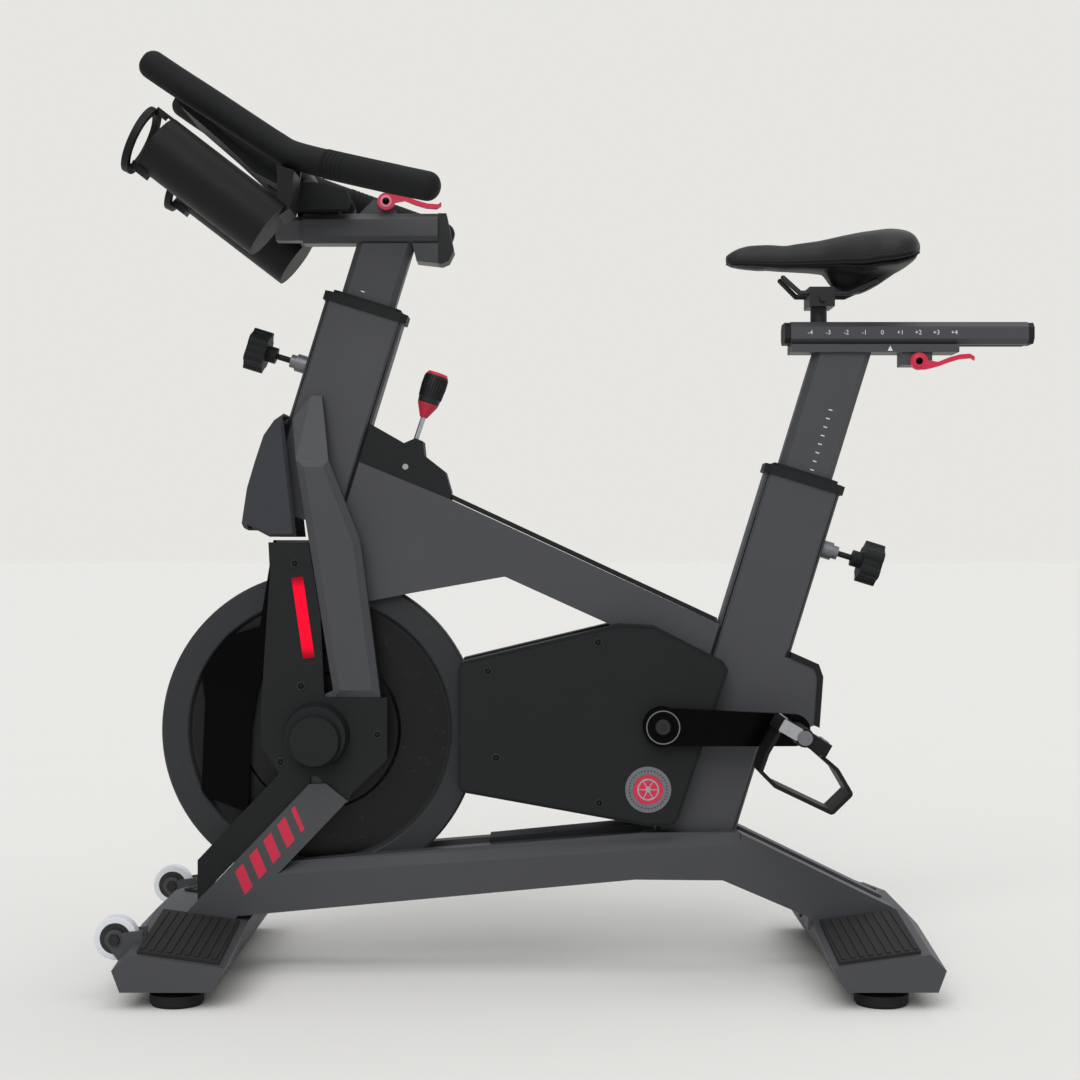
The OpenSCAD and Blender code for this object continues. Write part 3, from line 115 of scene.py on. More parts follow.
def paint(red: float, green: float, blue: float) -> Colour:
    """A display colour from 0 to 255 as linear light.

    Args:
        red, green, blue: the display values.

    Returns:
        The linear colour with full alpha.
    """

    def linear(value: float) -> float:
        """One channel.

        Args:
            value: the display value, from 0 to 255.

        Returns:
            The linear value.
        """
        share = value / 255
        return share / 12.92 if share <= 0.04045 else ((share + 0.055) / 1.055) ** 2.4

    return (linear(red), linear(green), linear(blue), 1.0)


# ---- Shader writing ----------------------------------------------------------------------------


class Sock:
    """A shader output that Python arithmetic can use; each operator adds one Math node."""

    def __init__(self, shade: "Shade", socket: bpy.types.NodeSocket) -> None:
        """Keeps the socket and the shade it belongs to.

        Args:
            shade: the material under construction.
            socket: the node output it stands for.
        """
        self.shade = shade
        self.socket = socket

    def __add__(self, other: "Term") -> "Sock":
        """Sum."""
        return self.shade.math("ADD", self, other)

    def __radd__(self, other: "Term") -> "Sock":
        """Sum with a number in front."""
        return self.shade.math("ADD", other, self)

    def __sub__(self, other: "Term") -> "Sock":
        """Difference."""
        return self.shade.math("SUBTRACT", self, other)

    def __rsub__(self, other: "Term") -> "Sock":
        """Difference with a number in front."""
        return self.shade.math("SUBTRACT", other, self)

    def __mul__(self, other: "Term") -> "Sock":
        """Product."""
        return self.shade.math("MULTIPLY", self, other)

    def __rmul__(self, other: "Term") -> "Sock":
        """Product with a number in front."""
        return self.shade.math("MULTIPLY", other, self)

    def __truediv__(self, other: "Term") -> "Sock":
        """Quotient."""
        return self.shade.math("DIVIDE", self, other)

    def __pow__(self, other: "Term") -> "Sock":
        """Power."""
        return self.shade.math("POWER", self, other)

    def __gt__(self, other: "Term") -> "Sock":
        """One where this is larger."""
        return self.shade.math("GREATER_THAN", self, other)

    def __lt__(self, other: "Term") -> "Sock":
        """One where this is smaller."""
        return self.shade.math("LESS_THAN", self, other)


Term = Union[Sock, float]


class Shade:
    """One material under construction."""

    def __init__(self, name: str, tree: bpy.types.NodeTree | None = None) -> None:
        """Starts an empty node tree.

        Args:
            name: the material's name.
            tree: an existing tree to fill in place of a new material's.
        """
        self.material = bpy.data.materials.new(name) if tree is None else None
        if self.material:
            self.material.use_nodes = True
        self.tree = tree or self.material.node_tree
        self.tree.nodes.clear()

    def node(
        self,
        kind: str,
        settings: dict[str, Any] | None = None,
        sockets: dict[Union[str, int], Any] | None = None,
    ) -> bpy.types.Node:
        """Adds a node: its settings first, then the values or links of its sockets.

        Args:
            kind: the node's type name.
            settings: properties of the node, and "stops" for a ramp.
            sockets: values, or Sock links, by input name or number.

        Returns:
            The node.
        """
        made = self.tree.nodes.new(kind)
        for key, value in (settings or {}).items():
            if key == "stops":
                ramp = made.color_ramp
                while len(ramp.elements) < len(value):
                    ramp.elements.new(0.5)
                for element, (place, colour) in zip(ramp.elements, value):
                    element.position, element.color = place, colour
            else:
                setattr(made, key, value)
        for key, value in (sockets or {}).items():
            if isinstance(value, Sock):
                self.tree.links.new(value.socket, made.inputs[key])
            else:
                made.inputs[key].default_value = value
        return made

    def out(self, node: bpy.types.Node, name: Union[str, int] = 0) -> Sock:
        """One output of a node.

        Args:
            node: the node.
            name: the output's name or number.

        Returns:
            The output.
        """
        return Sock(self, node.outputs[name])

    def math(self, operation: str, *terms: Term) -> Sock:
        """A Math node on two or three terms.

        Args:
            operation: the Math node's operation.
            terms: sockets or plain numbers.

        Returns:
            The result.
        """
        return self.out(
            self.node("ShaderNodeMath", {"operation": operation}, dict(enumerate(terms)))
        )

    def place(self) -> Sock:
        """Where a point is on the piece, in metres.

        Returns:
            The place.
        """
        return self.out(self.node("ShaderNodeTexCoord"), "Object")

    def moved(self, about: Point, turn: Point = (0, 0, 0), scale: Point = (1, 1, 1)) -> Sock:
        """The place measured from a point and turned.

        Args:
            about: the point that becomes the origin.
            turn: turn in radians, after the shift.
            scale: scale of each axis.

        Returns:
            The mapped place.
        """
        shifted = self.node(
            "ShaderNodeVectorMath",
            {"operation": "SUBTRACT"},
            {0: self.place(), 1: about},
        )
        return self.out(
            self.node(
                "ShaderNodeMapping",
                {"vector_type": "POINT"},
                {"Vector": self.out(shifted), "Rotation": turn, "Scale": scale},
            )
        )

    def axes(self, vector: Sock) -> tuple[Sock, Sock, Sock]:
        """The three parts of a vector.

        Args:
            vector: the vector.

        Returns:
            The X, Y and Z parts.
        """
        parts = self.node("ShaderNodeSeparateXYZ", None, {0: vector})
        return self.out(parts, 0), self.out(parts, 1), self.out(parts, 2)

    def noise(
        self, scale: float, detail: float = 2.0, rough: float = 0.5, vector: Sock | None = None
    ) -> Sock:
        """Fractal noise from 0 to 1 on the place of the piece.

        Args:
            scale: how many features a metre holds.
            detail: octaves of the noise.
            rough: how strong the fine octaves are.
            vector: the vector; the piece's own place if none is given.

        Returns:
            The noise.
        """
        where = vector or self.place()
        return self.out(
            self.node(
                "ShaderNodeTexNoise",
                {"noise_dimensions": "3D"},
                {"Vector": where, "Scale": scale, "Detail": detail, "Roughness": rough},
            ),
            0,
        )

    def cells(self, scale: float, feature: str = "F1", vector: Sock | None = None) -> Sock:
        """Distance to the nearest cell centre or edge.

        Args:
            scale: how many features a metre holds.
            feature: what is measured in each cell.
            vector: the vector; the piece's own place if none is given.

        Returns:
            The distance.
        """
        where = vector or self.place()
        return self.out(
            self.node(
                "ShaderNodeTexVoronoi",
                {"voronoi_dimensions": "3D", "feature": feature},
                {"Vector": where, "Scale": scale},
            ),
            "Distance",
        )

    def between(self, value: Sock, low: float, high: float, to: tuple[float, float]) -> Sock:
        """Maps value from low..high to a new range, smoothly and clamped.

        Args:
            value: the display value.
            low: the lower end.
            high: the upper end.
            to: the new range.

        Returns:
            The mapped value.
        """
        return self.out(
            self.node(
                "ShaderNodeMapRange",
                {"interpolation_type": "SMOOTHSTEP", "clamp": True},
                {"Value": value, 1: low, 2: high, 3: to[0], 4: to[1]},
            )
        )

    def mix(self, share: Term, first: Any, second: Any) -> Sock:
        """Blends two colours.

        Args:
            share: how much of the second colour, from 0 to 1.
            first: the first colour.
            second: the second colour.

        Returns:
            The blended colour.
        """
        made = self.node(
            "ShaderNodeMix", {"data_type": "RGBA"}, {0: share, 6: first, 7: second}
        )
        return Sock(self, made.outputs[2])

    def bump(self, height: Sock, depth: float, strength: float = 1.0) -> Sock:
        """A normal from a height.

        Args:
            height: the height, from 0 to 1.
            depth: what a height of 1 is, in metres.
            strength: share of the effect.

        Returns:
            The normal.
        """
        return self.out(
            self.node(
                "ShaderNodeBump",
                None,
                {"Strength": strength, "Distance": depth, "Height": height},
            )
        )

    def surface(self, **sockets: Any) -> bpy.types.Material:
        """Ends the tree in a Principled shader.

        Args:
            sockets: its inputs, with underscores for spaces.

        Returns:
            The finished material.
        """
        body = self.node(
            "ShaderNodeBsdfPrincipled",
            None,
            {key.replace("_", " "): value for key, value in sockets.items()},
        )
        end = self.node("ShaderNodeOutputMaterial")
        self.tree.links.new(body.outputs[0], end.inputs[0])
        return self.material


# ---- Finishes ----------------------------------------------------------------------------------


class Finish(ABC):
    """A finish that can make its material once and hand it out again."""

    made: dict[str, bpy.types.Material] = {}
    name: str

    @abstractmethod
    def write(self, shade: Shade) -> bpy.types.Material:
        """Writes the shader.

        Args:
            shade: the material under construction.

        Returns:
            The finished material.
        """

    def material(self) -> bpy.types.Material:
        """The material of this finish, made at first use.

        Returns:
            The material.
        """
        if self.name not in Finish.made:
            Finish.made[self.name] = self.write(Shade(self.name))
        return Finish.made[self.name]


@dataclass(frozen=True)
class PowderCoat(Finish):
    """Baked powder paint on steel: fine orange peel, faint mottling and slight rubbed patches."""

    name: str
    colour: Colour
    rubbed: Colour
    rough: float = 0.5
    peel: float = 0.00003

    def write(self, shade: Shade) -> bpy.types.Material:
        """Writes the shader.

        Args:
            shade: the material under construction.

        Returns:
            The finished material.
        """
        mottle = shade.noise(9, 3)
        speck = shade.noise(900, 2)
        wear = shade.between(shade.noise(38, 6, 0.62), 0.6, 0.74, (0.0, 0.45))
        base = shade.mix(mottle * 0.6 + speck * 0.25, self.colour, self.rubbed)
        worn = shade.mix(wear * 0.35, base, self.rubbed)
        rough = self.rough + speck * 0.08 - wear * 0.1
        peel = shade.bump(shade.noise(620, 3, 0.55), self.peel, 0.55)
        return shade.surface(
            Base_Color=worn, Roughness=rough, Normal=peel, Metallic=0.0, Specular_IOR_Level=0.42
        )


@dataclass(frozen=True)
class CoveredPost(Finish):
    """Powder-coated post whose rear cover, under the sleeve, is a black moulding."""

    name: str
    colour: Colour
    rubbed: Colour
    cover: Colour
    behind: float
    below: float

    def write(self, shade: Shade) -> bpy.types.Material:
        """Writes the shader.

        Args:
            shade: the material under construction.

        Returns:
            The finished material.
        """
        east, _, up = shade.axes(shade.place())
        moulded = shade.math("MINIMUM", east > self.behind, up < self.below)
        mottle = shade.noise(9, 3)
        speck = shade.noise(900, 2)
        steel = shade.mix(mottle * 0.6 + speck * 0.25, self.colour, self.rubbed)
        return shade.surface(
            Base_Color=shade.mix(moulded, steel, self.cover),
            Roughness=0.4 + speck * 0.08 + moulded * 0.1,
            Normal=shade.bump(shade.noise(620, 3, 0.55), 0.00003, 0.55),
            Specular_IOR_Level=0.36,
        )


@dataclass(frozen=True)
class MouldedPlastic(Finish):
    """Injection-moulded plastic with a spark-eroded grain."""

    name: str
    colour: Colour
    rough: float = 0.52
    grain: float = 0.00005
    grain_scale: float = 1500
    specular: float = 0.3

    def write(self, shade: Shade) -> bpy.types.Material:
        """Writes the shader.

        Args:
            shade: the material under construction.

        Returns:
            The finished material.
        """
        cloud = shade.noise(14, 4, 0.6)
        grain = shade.cells(self.grain_scale)
        scuff = shade.between(shade.noise(70, 5, 0.7), 0.62, 0.8, (0.0, 1.0))
        lighter = tuple(min(1.0, c * 1.7 + 0.004) for c in self.colour[:3]) + (1.0,)
        base = shade.mix(cloud * 0.35 + scuff * 0.3, self.colour, lighter)
        rough = self.rough + cloud * 0.12 - scuff * 0.08
        normal = shade.bump(grain, self.grain, 0.5)
        return shade.surface(
            Base_Color=base, Roughness=rough, Normal=normal, Specular_IOR_Level=self.specular
        )


@dataclass(frozen=True)
class GlossPaint(Finish):
    """Thick glossy black paint on a forged arm, slightly wavy."""

    name: str
    colour: Colour
    rough: float = 0.2

    def write(self, shade: Shade) -> bpy.types.Material:
        """Writes the shader.

        Args:
            shade: the material under construction.

        Returns:
            The finished material.
        """
        wave = shade.noise(60, 2)
        dust = shade.between(shade.noise(420, 5, 0.7), 0.55, 0.8, (0.0, 1.0))
        lighter = tuple(c + 0.002 for c in self.colour[:3]) + (1.0,)
        return shade.surface(
            Base_Color=shade.mix(dust * 0.4, self.colour, lighter),
            Roughness=self.rough + wave * 0.1 + dust * 0.12,
            Normal=shade.bump(wave, 0.0002, 0.35),
            Specular_IOR_Level=0.06,
        )


@dataclass(frozen=True)
class TurnedWheel(Finish):
    """Painted cast wheel: turned grooves round the axle, a smooth web and a matt rim face."""

    name: str
    colour: Colour
    centre: Point
    web_colour: Colour
    rim_from: float = 0.173

    def write(self, shade: Shade) -> bpy.types.Material:
        """Writes the shader.

        Args:
            shade: the material under construction.

        Returns:
            The finished material.
        """
        east, _, up = shade.axes(shade.moved(self.centre))
        reach = shade.math("SQRT", east * east + up * up)
        groove = shade.math("SINE", reach * 5200) * 0.5 + 0.5
        on_rim = shade.between(reach, self.rim_from - 0.002, self.rim_from + 0.001, (0.0, 1.0))
        cast = shade.noise(160, 4, 0.6)
        tone = shade.mix(on_rim, self.web_colour, self.colour)
        pale = tuple(c * 1.5 + 0.004 for c in self.colour[:3]) + (1.0,)
        fleck = shade.between(shade.noise(90, 5, 0.65), 0.58, 0.8, (0.0, 0.5))
        rough = 0.3 + on_rim * 0.2 + cast * 0.1
        height = groove * 0.5 + cast * 0.5
        return shade.surface(
            Base_Color=shade.mix(fleck, tone, pale),
            Roughness=rough,
            Normal=shade.bump(height, 0.00004, 0.5),
            Specular_IOR_Level=0.26,
        )


@dataclass(frozen=True)
class BrightSteel(Finish):
    """Plated steel with fine drawn lines along Z and a little tarnish."""

    name: str
    colour: Colour
    rough: float = 0.26

    def write(self, shade: Shade) -> bpy.types.Material:
        """Writes the shader.

        Args:
            shade: the material under construction.

        Returns:
            The finished material.
        """
        lines = shade.noise(1, 3, 0.6, shade.moved((0, 0, 0), scale=(1600, 1600, 90)))
        tarnish = shade.between(shade.noise(130, 5, 0.65), 0.5, 0.75, (0.0, 1.0))
        darker = tuple(c * 0.62 for c in self.colour[:3]) + (1.0,)
        return shade.surface(
            Base_Color=shade.mix(tarnish * 0.5, self.colour, darker),
            Metallic=1.0,
            Roughness=self.rough + lines * 0.12 + tarnish * 0.1,
            Normal=shade.bump(lines, 0.00001, 0.5),
        )


@dataclass(frozen=True)
class DullRubber(Finish):
    """Black rubber with a dusty bloom and tiny pits."""

    name: str
    colour: Colour
    rough: float = 0.72

    def write(self, shade: Shade) -> bpy.types.Material:
        """Writes the shader.

        Args:
            shade: the material under construction.

        Returns:
            The finished material.
        """
        bloom = shade.between(shade.noise(34, 5, 0.6), 0.45, 0.8, (0.0, 1.0))
        pits = shade.cells(1100)
        dusty = tuple(c + 0.012 for c in self.colour[:3]) + (1.0,)
        return shade.surface(
            Base_Color=shade.mix(bloom * 0.5, self.colour, dusty),
            Roughness=self.rough + bloom * 0.12,
            Normal=shade.bump(pits, 0.00008, 0.6),
            Specular_IOR_Level=0.25,
        )


@dataclass(frozen=True)
class DippedFoam(Finish):
    """Skinned foam of the grips: closed pores and a soft dimpled skin."""

    name: str
    colour: Colour
    pore_scale: float = 900

    def write(self, shade: Shade) -> bpy.types.Material:
        """Writes the shader.

        Args:
            shade: the material under construction.

        Returns:
            The finished material.
        """
        pores = shade.between(shade.cells(self.pore_scale), 0.12, 0.5, (0.0, 1.0))
        cloud = shade.noise(24, 4, 0.6)
        swell = shade.noise(120, 3, 0.5)
        paler = tuple(c * 1.8 + 0.004 for c in self.colour[:3]) + (1.0,)
        return shade.surface(
            Base_Color=shade.mix(cloud * 0.5 + pores * 0.2, self.colour, paler),
            Roughness=0.62 + cloud * 0.14,
            Normal=shade.bump(pores * 0.7 + swell * 0.9, 0.00012, 0.55),
            Specular_IOR_Level=0.2,
        )


@dataclass(frozen=True)
class SaddleVinyl(Finish):
    """Embossed saddle cover: pebble grain, creases along the nose and a painted highlight on top.
    """

    name: str
    colour: Colour
    top: float

    def write(self, shade: Shade) -> bpy.types.Material:
        """Writes the shader.

        Args:
            shade: the material under construction.

        Returns:
            The finished material.
        """
        pebble = shade.between(
            shade.cells(760, "DISTANCE_TO_EDGE"), 0.02, 0.3, (0.0, 1.0)
        )
        crease = shade.noise(1, 4, 0.6, shade.moved((0, 0, 0), scale=(60, 260, 260)))
        _, _, up = shade.axes(shade.place())
        # Painted highlight: the top 30 mm of the cover is blended towards a paler colour; the lower
        # roughness there is polish from wear.
        rubbed = shade.between(up, self.top - 0.03, self.top, (0.0, 1.0))
        paler = tuple(c * 1.7 + 0.005 for c in self.colour[:3]) + (1.0,)
        return shade.surface(
            # The base colour carries the painted highlight on top.
            Base_Color=shade.mix(crease * 0.35 + rubbed * 0.25, self.colour, paler),
            Roughness=0.56 - rubbed * 0.08 + pebble * 0.06,
            Normal=shade.bump(pebble * 0.7 + crease * 0.6, 0.00014, 0.6),
            Specular_IOR_Level=0.35,
            Sheen_Weight=0.08,
        )


@dataclass(frozen=True)
class TintedPlastic(Finish):
    """Coloured glossy plastic with faint flow lines."""

    name: str
    colour: Colour
    rough: float = 0.34

    def write(self, shade: Shade) -> bpy.types.Material:
        """Writes the shader.

        Args:
            shade: the material under construction.

        Returns:
            The finished material.
        """
        flow = shade.noise(1, 4, 0.6, shade.moved((0, 0, 0), scale=(40, 160, 160)))
        fine = shade.noise(1300, 2)
        deeper = tuple(c * 0.62 for c in self.colour[:3]) + (1.0,)
        return shade.surface(
            Base_Color=shade.mix(flow * 0.55, self.colour, deeper),
            Roughness=self.rough + fine * 0.14,
            Normal=shade.bump(fine, 0.00003, 0.5),
            Specular_IOR_Level=0.4,
        )


@dataclass(frozen=True)
class GlowStrip(Finish):
    """Frosted light strip: a row of lamps behind a diffuser."""

    name: str
    colour: Colour
    power: float
    pitch: float
    middle: float = 0.4715
    half: float = 0.0545

    def write(self, shade: Shade) -> bpy.types.Material:
        """Writes the shader.

        Args:
            shade: the material under construction.

        Returns:
            The finished material.
        """
        _, _, up = shade.axes(shade.place())
        lamps = shade.math("SINE", up * (math.tau / self.pitch)) * 0.5 + 0.5
        frost = shade.noise(500, 3)
        off = shade.math("ABSOLUTE", up - self.middle)
        lit = shade.between(off, self.half * 0.66, self.half * 0.99, (1.0, 0.12))
        hot = (1.0, 0.0, 0.035, 1.0)
        glow = shade.mix(lamps * 0.3 + frost * 0.2, self.colour, hot)
        return shade.surface(
            Base_Color=shade.mix(frost, (0.05, 0.0, 0.002, 1.0), (0.09, 0.0, 0.004, 1.0)),
            Roughness=0.5 + frost * 0.1,
            Emission_Color=shade.mix(lit, (0.12, 0.0, 0.003, 1.0), glow),
            Emission_Strength=self.power,
            Specular_IOR_Level=0.1,
        )


@dataclass(frozen=True)
class ClearTyre(Finish):
    """Milky cast tyre over a dark hub, told apart by the distance from the axle."""

    name: str
    centre: Point
    tyre_from: float
    milk: Colour
    hub: Colour

    def write(self, shade: Shade) -> bpy.types.Material:
        """Writes the shader.

        Args:
            shade: the material under construction.

        Returns:
            The finished material.
        """
        east, _, up = shade.axes(shade.moved(self.centre))
        reach = shade.math("SQRT", east * east + up * up)
        tyre = shade.between(reach, self.tyre_from - 0.0003, self.tyre_from + 0.0003, (0.0, 1.0))
        cloud = shade.noise(180, 4, 0.6)
        dirt = shade.between(shade.noise(260, 5, 0.7), 0.55, 0.8, (0.0, 0.35))
        dirty = (0.32, 0.31, 0.3, 1.0)
        milk = shade.mix(dirt, self.milk, dirty)
        return shade.surface(
            Base_Color=shade.mix(tyre, self.hub, milk),
            Roughness=0.5 - tyre * 0.2 + cloud * 0.1,
            Normal=shade.bump(cloud, 0.0001, 0.3),
            Specular_IOR_Level=0.45,
        )


@dataclass(frozen=True)
class KnobColours(Finish):
    """Knob of the brake lever: red cone below, black body, red cap, told by height on its rod."""

    name: str
    pivot: Point
    lean: float
    red: Colour
    black: Colour
    cone_to: float
    cap_from: float

    def write(self, shade: Shade) -> bpy.types.Material:
        """Writes the shader.

        Args:
            shade: the material under construction.

        Returns:
            The finished material.
        """
        _, _, along = shade.axes(shade.moved(self.pivot, (0.0, -self.lean, 0.0)))
        cone = along < self.cone_to
        cap = along > self.cap_from
        fine = shade.noise(900, 3)
        tone = shade.mix(shade.math("MAXIMUM", cone, cap), self.black, self.red)
        return shade.surface(
            Base_Color=shade.mix(fine * 0.2, tone, self.black),
            Roughness=0.42 + fine * 0.12,
            Normal=shade.bump(fine, 0.00006, 0.5),
            Specular_IOR_Level=0.35,
        )


@dataclass(frozen=True)
class StepPrint(Finish):
    """Screen-printed paint with a slightly broken edge."""

    name: str
    colour: Colour

    def write(self, shade: Shade) -> bpy.types.Material:
        """Writes the shader.

        Args:
            shade: the material under construction.

        Returns:
            The finished material.
        """
        ink = shade.noise(2400, 3, 0.6)
        darker = tuple(c * 0.7 for c in self.colour[:3]) + (1.0,)
        return shade.surface(
            Base_Color=shade.mix(ink * 0.5, self.colour, darker),
            Roughness=0.55 + ink * 0.15,
            Normal=shade.bump(ink, 0.00002, 0.4),
        )


class Coat(Enum):
    """The finishes of the bike, by the maker's names."""

    FRAME = PowderCoat("frame_grey", paint(55, 56, 60), paint(66, 67, 71), 0.46)
    PLASTIC = MouldedPlastic("black_plastic", paint(21, 23, 24), specular=0.2)
    FAIRING = MouldedPlastic("dark_grey_plastic", paint(46, 48, 52), specular=0.25)
    FINE_PLASTIC = MouldedPlastic(
        "fine_black_plastic", paint(14, 15, 16), 0.44, 0.00003, 2200, 0.18
    )
    GLOSS = GlossPaint("crank_black", paint(1, 1, 2), 0.16)
    DARK_METAL = PowderCoat("fastener_black", paint(10, 10, 11), paint(24, 24, 26), 0.42)
    WHEEL = TurnedWheel(
        "flywheel_grey", paint(42, 44, 46), mm(-346.5, 0, 319), paint(9, 10, 11)
    )
    STEEL = BrightSteel("steel", paint(176, 178, 182))
    SATIN = BrightSteel("satin_metal", paint(120, 122, 126), 0.42)
    RUBBER = DullRubber("rubber", paint(19, 19, 20))
    TREAD = DullRubber("tread_rubber", paint(34, 34, 35))
    FOAM = DippedFoam("grip_foam", paint(13, 14, 15))
    VINYL = SaddleVinyl("saddle_cover", paint(17, 18, 19), 0.99)
    STEM = CoveredPost(
        "covered_post", paint(56, 57, 60), paint(66, 67, 70), paint(18, 20, 21), -0.1883, 1.0125
    )
    RED = TintedPlastic("red_plastic", paint(206, 34, 72))
    # Painted highlight: a paler copy of the red plastic, for the lit rim of the bar lever.
    PINK = TintedPlastic("red_plastic_painted_highlight", paint(214, 120, 142))
    LAMP = GlowStrip("light_red", (0.8, 0.0, 0.02, 1.0), 1.15, 0.0085)
    TYRE = ClearTyre(
        "clear_tyre", mm(-581.5, 0, 76.5), 0.0195, paint(214, 217, 221), paint(24, 24, 26)
    )
    KNOB = KnobColours(
        "lever_knob",
        mm(-231.5, 0, 672),
        math.radians(18.5),
        paint(196, 34, 62),
        paint(24, 24, 25),
        0.0905,
        0.1302,
    )
    WHITE_INK = StepPrint("white_ink", paint(214, 216, 218))
    RED_INK = StepPrint("red_ink", paint(198, 24, 62))
    THREAD = StepPrint("seam_thread", paint(46, 47, 49))

    @property
    def material(self) -> bpy.types.Material:
        """The Blender material of this finish.

        Returns:
            The material.
        """
        return self.value.material()


# ---- Mesh making -------------------------------------------------------------------------------


class Piece:
    """A new visible piece: a mesh object at the origin with one finish."""

    @staticmethod
    def from_lists(
        name: str, points: Sequence[Point], faces: Sequence[Sequence[int]], coat: Coat
    ) -> bpy.types.Object:
        """Makes the object from points and faces, welded and facing outwards.

        Args:
            name: the piece's name.
            points: corners in metres.
            faces: corner numbers of each face.
            coat: the finish.

        Returns:
            The object, at the origin.
        """
        mesh = bpy.data.meshes.new(name)
        mesh.from_pydata([tuple(p) for p in points], [], [tuple(f) for f in faces])
        return Piece.from_mesh(name, mesh, coat)

    @staticmethod
    def from_mesh(
        name: str, mesh: bpy.types.Mesh, coat: Coat, smooth: bool = True, turn_out: bool = True
    ) -> bpy.types.Object:
        """Links a mesh as a piece.

        Args:
            name: the piece's name.
            mesh: its mesh.
            coat: the finish.
            smooth: smooth shading below a sharp angle.
            turn_out: recalculate normals after a weld.

        Returns:
            The object.
        """
        if turn_out:
            work = bmesh.new()
            work.from_mesh(mesh)
            bmesh.ops.remove_doubles(work, verts=work.verts, dist=1e-6)
            bmesh.ops.recalc_face_normals(work, faces=work.faces)
            work.to_mesh(mesh)
            work.free()
        mesh.materials.clear()
        mesh.materials.append(coat.material)
        mesh.polygons.foreach_set("use_smooth", [smooth] * len(mesh.polygons))
        made = bpy.data.objects.new(name, mesh)
        bpy.context.scene.collection.objects.link(made)
        if smooth:
            mesh.set_sharp_from_angle(angle=math.radians(38))
        return made


class Sweep:
    """Closed tubes and lofts made from rings of points."""

    @staticmethod
    def loft(rings: Sequence[Sequence[Point]]) -> tuple[list[Point], list[list[int]]]:
        """Joins rings of equal length into a closed skin with fanned ends.

        Args:
            rings: the rings, from one end to the other.

        Returns:
            Points and faces.
        """
        size = len(rings[0])
        points: list[Point] = [p for ring in rings for p in ring]
        faces = [
            [j * size + i, j * size + (i + 1) % size, (j + 1) * size + (i + 1) % size,
             (j + 1) * size + i]
            for j in range(len(rings) - 1)
            for i in range(size)
        ]
        for start in (0, (len(rings) - 1) * size):
            middle = np.mean(points[start : start + size], axis=0)
            points.append(tuple(middle))
            hub = len(points) - 1
            faces += [[start + i, start + (i + 1) % size, hub] for i in range(size)]
        return points, faces

    @staticmethod
    def curve(points: Sequence[Point], steps: int) -> np.ndarray:
        """A smooth path through points, evenly sampled by length.

        Args:
            points: places the path passes through.
            steps: number of samples.

        Returns:
            An array of samples.
        """
        known = np.array(points, float)
        padded = np.vstack([2 * known[0] - known[1], known, 2 * known[-1] - known[-2]])
        fine = []
        for i in range(1, len(padded) - 2):
            a, b, c, d = padded[i - 1 : i + 3]
            for t in np.linspace(0, 1, 24, endpoint=False):
                fine.append(
                    0.5 * (2 * b + (c - a) * t + (2 * a - 5 * b + 4 * c - d) * t**2
                           + (3 * b - a - 3 * c + d) * t**3)
                )
        fine.append(known[-1])
        line = np.array(fine)
        run = np.concatenate([[0], np.cumsum(np.linalg.norm(np.diff(line, axis=0), axis=1))])
        want = np.linspace(0, run[-1], steps)
        return np.column_stack([np.interp(want, run, line[:, k]) for k in range(3)])

    @staticmethod
    def tube(
        path: np.ndarray, radius: Callable[[float], float], sides: int = 32, flat: float = 1.0
    ) -> tuple[list[Point], list[list[int]]]:
        """A tube round a path.

        Args:
            path: samples of the path.
            radius: radius at a share of the length.
            sides: corners of a ring.
            flat: height of a ring over its width.

        Returns:
            Points and faces.
        """
        rings: list[list[Point]] = []
        side = np.array([0.0, 1.0, 0.0])
        for i, centre in enumerate(path):
            ahead = path[min(i + 1, len(path) - 1)] - path[max(i - 1, 0)]
            ahead = ahead / np.linalg.norm(ahead)
            side = side - ahead * float(side @ ahead)
            side = side / np.linalg.norm(side)
            high = np.cross(ahead, side)
            reach = radius(i / (len(path) - 1))
            rings.append(
                [
                    tuple(
                        centre
                        + side * reach * math.cos(math.tau * k / sides)
                        + high * reach * flat * math.sin(math.tau * k / sides)
                    )
                    for k in range(sides)
                ]
            )
        return Sweep.loft(rings)

    @staticmethod
    def turned_faces(size: int, sides: int) -> list[list[int]]:
        """Faces of a closed section of some points that is turned round an axis.

        Args:
            size: how many points the section has.
            sides: how many times it is repeated round the axis.

        Returns:
            The faces.
        """
        faces: list[list[int]] = []
        for k in range(sides):
            this, following = k * size, (k + 1) % sides * size
            for a in range(size):
                b = (a + 1) % size
                faces.append([this + a, this + b, following + b, following + a])
        return faces

    @staticmethod
    def prism(
        outline: Sequence[tuple[float, float]], y_low: float, y_high: float
    ) -> tuple[list[Point], list[list[int]]]:
        """An XZ outline made into a plate from y_low to y_high.

        Args:
            outline: points of the outline in millimetres.
            y_low: the near face in millimetres.
            y_high: the far face in millimetres.

        Returns:
            Points and faces.
        """
        size = len(outline)
        points = [(x, y_low, z) for x, z in outline] + [(x, y_high, z) for x, z in outline]
        faces = [list(range(size)), list(range(2 * size - 1, size - 1, -1))]
        faces += [[i, (i + 1) % size, size + (i + 1) % size, size + i] for i in range(size)]
        return points, faces


# ---- Geometry nodes ----------------------------------------------------------------------------


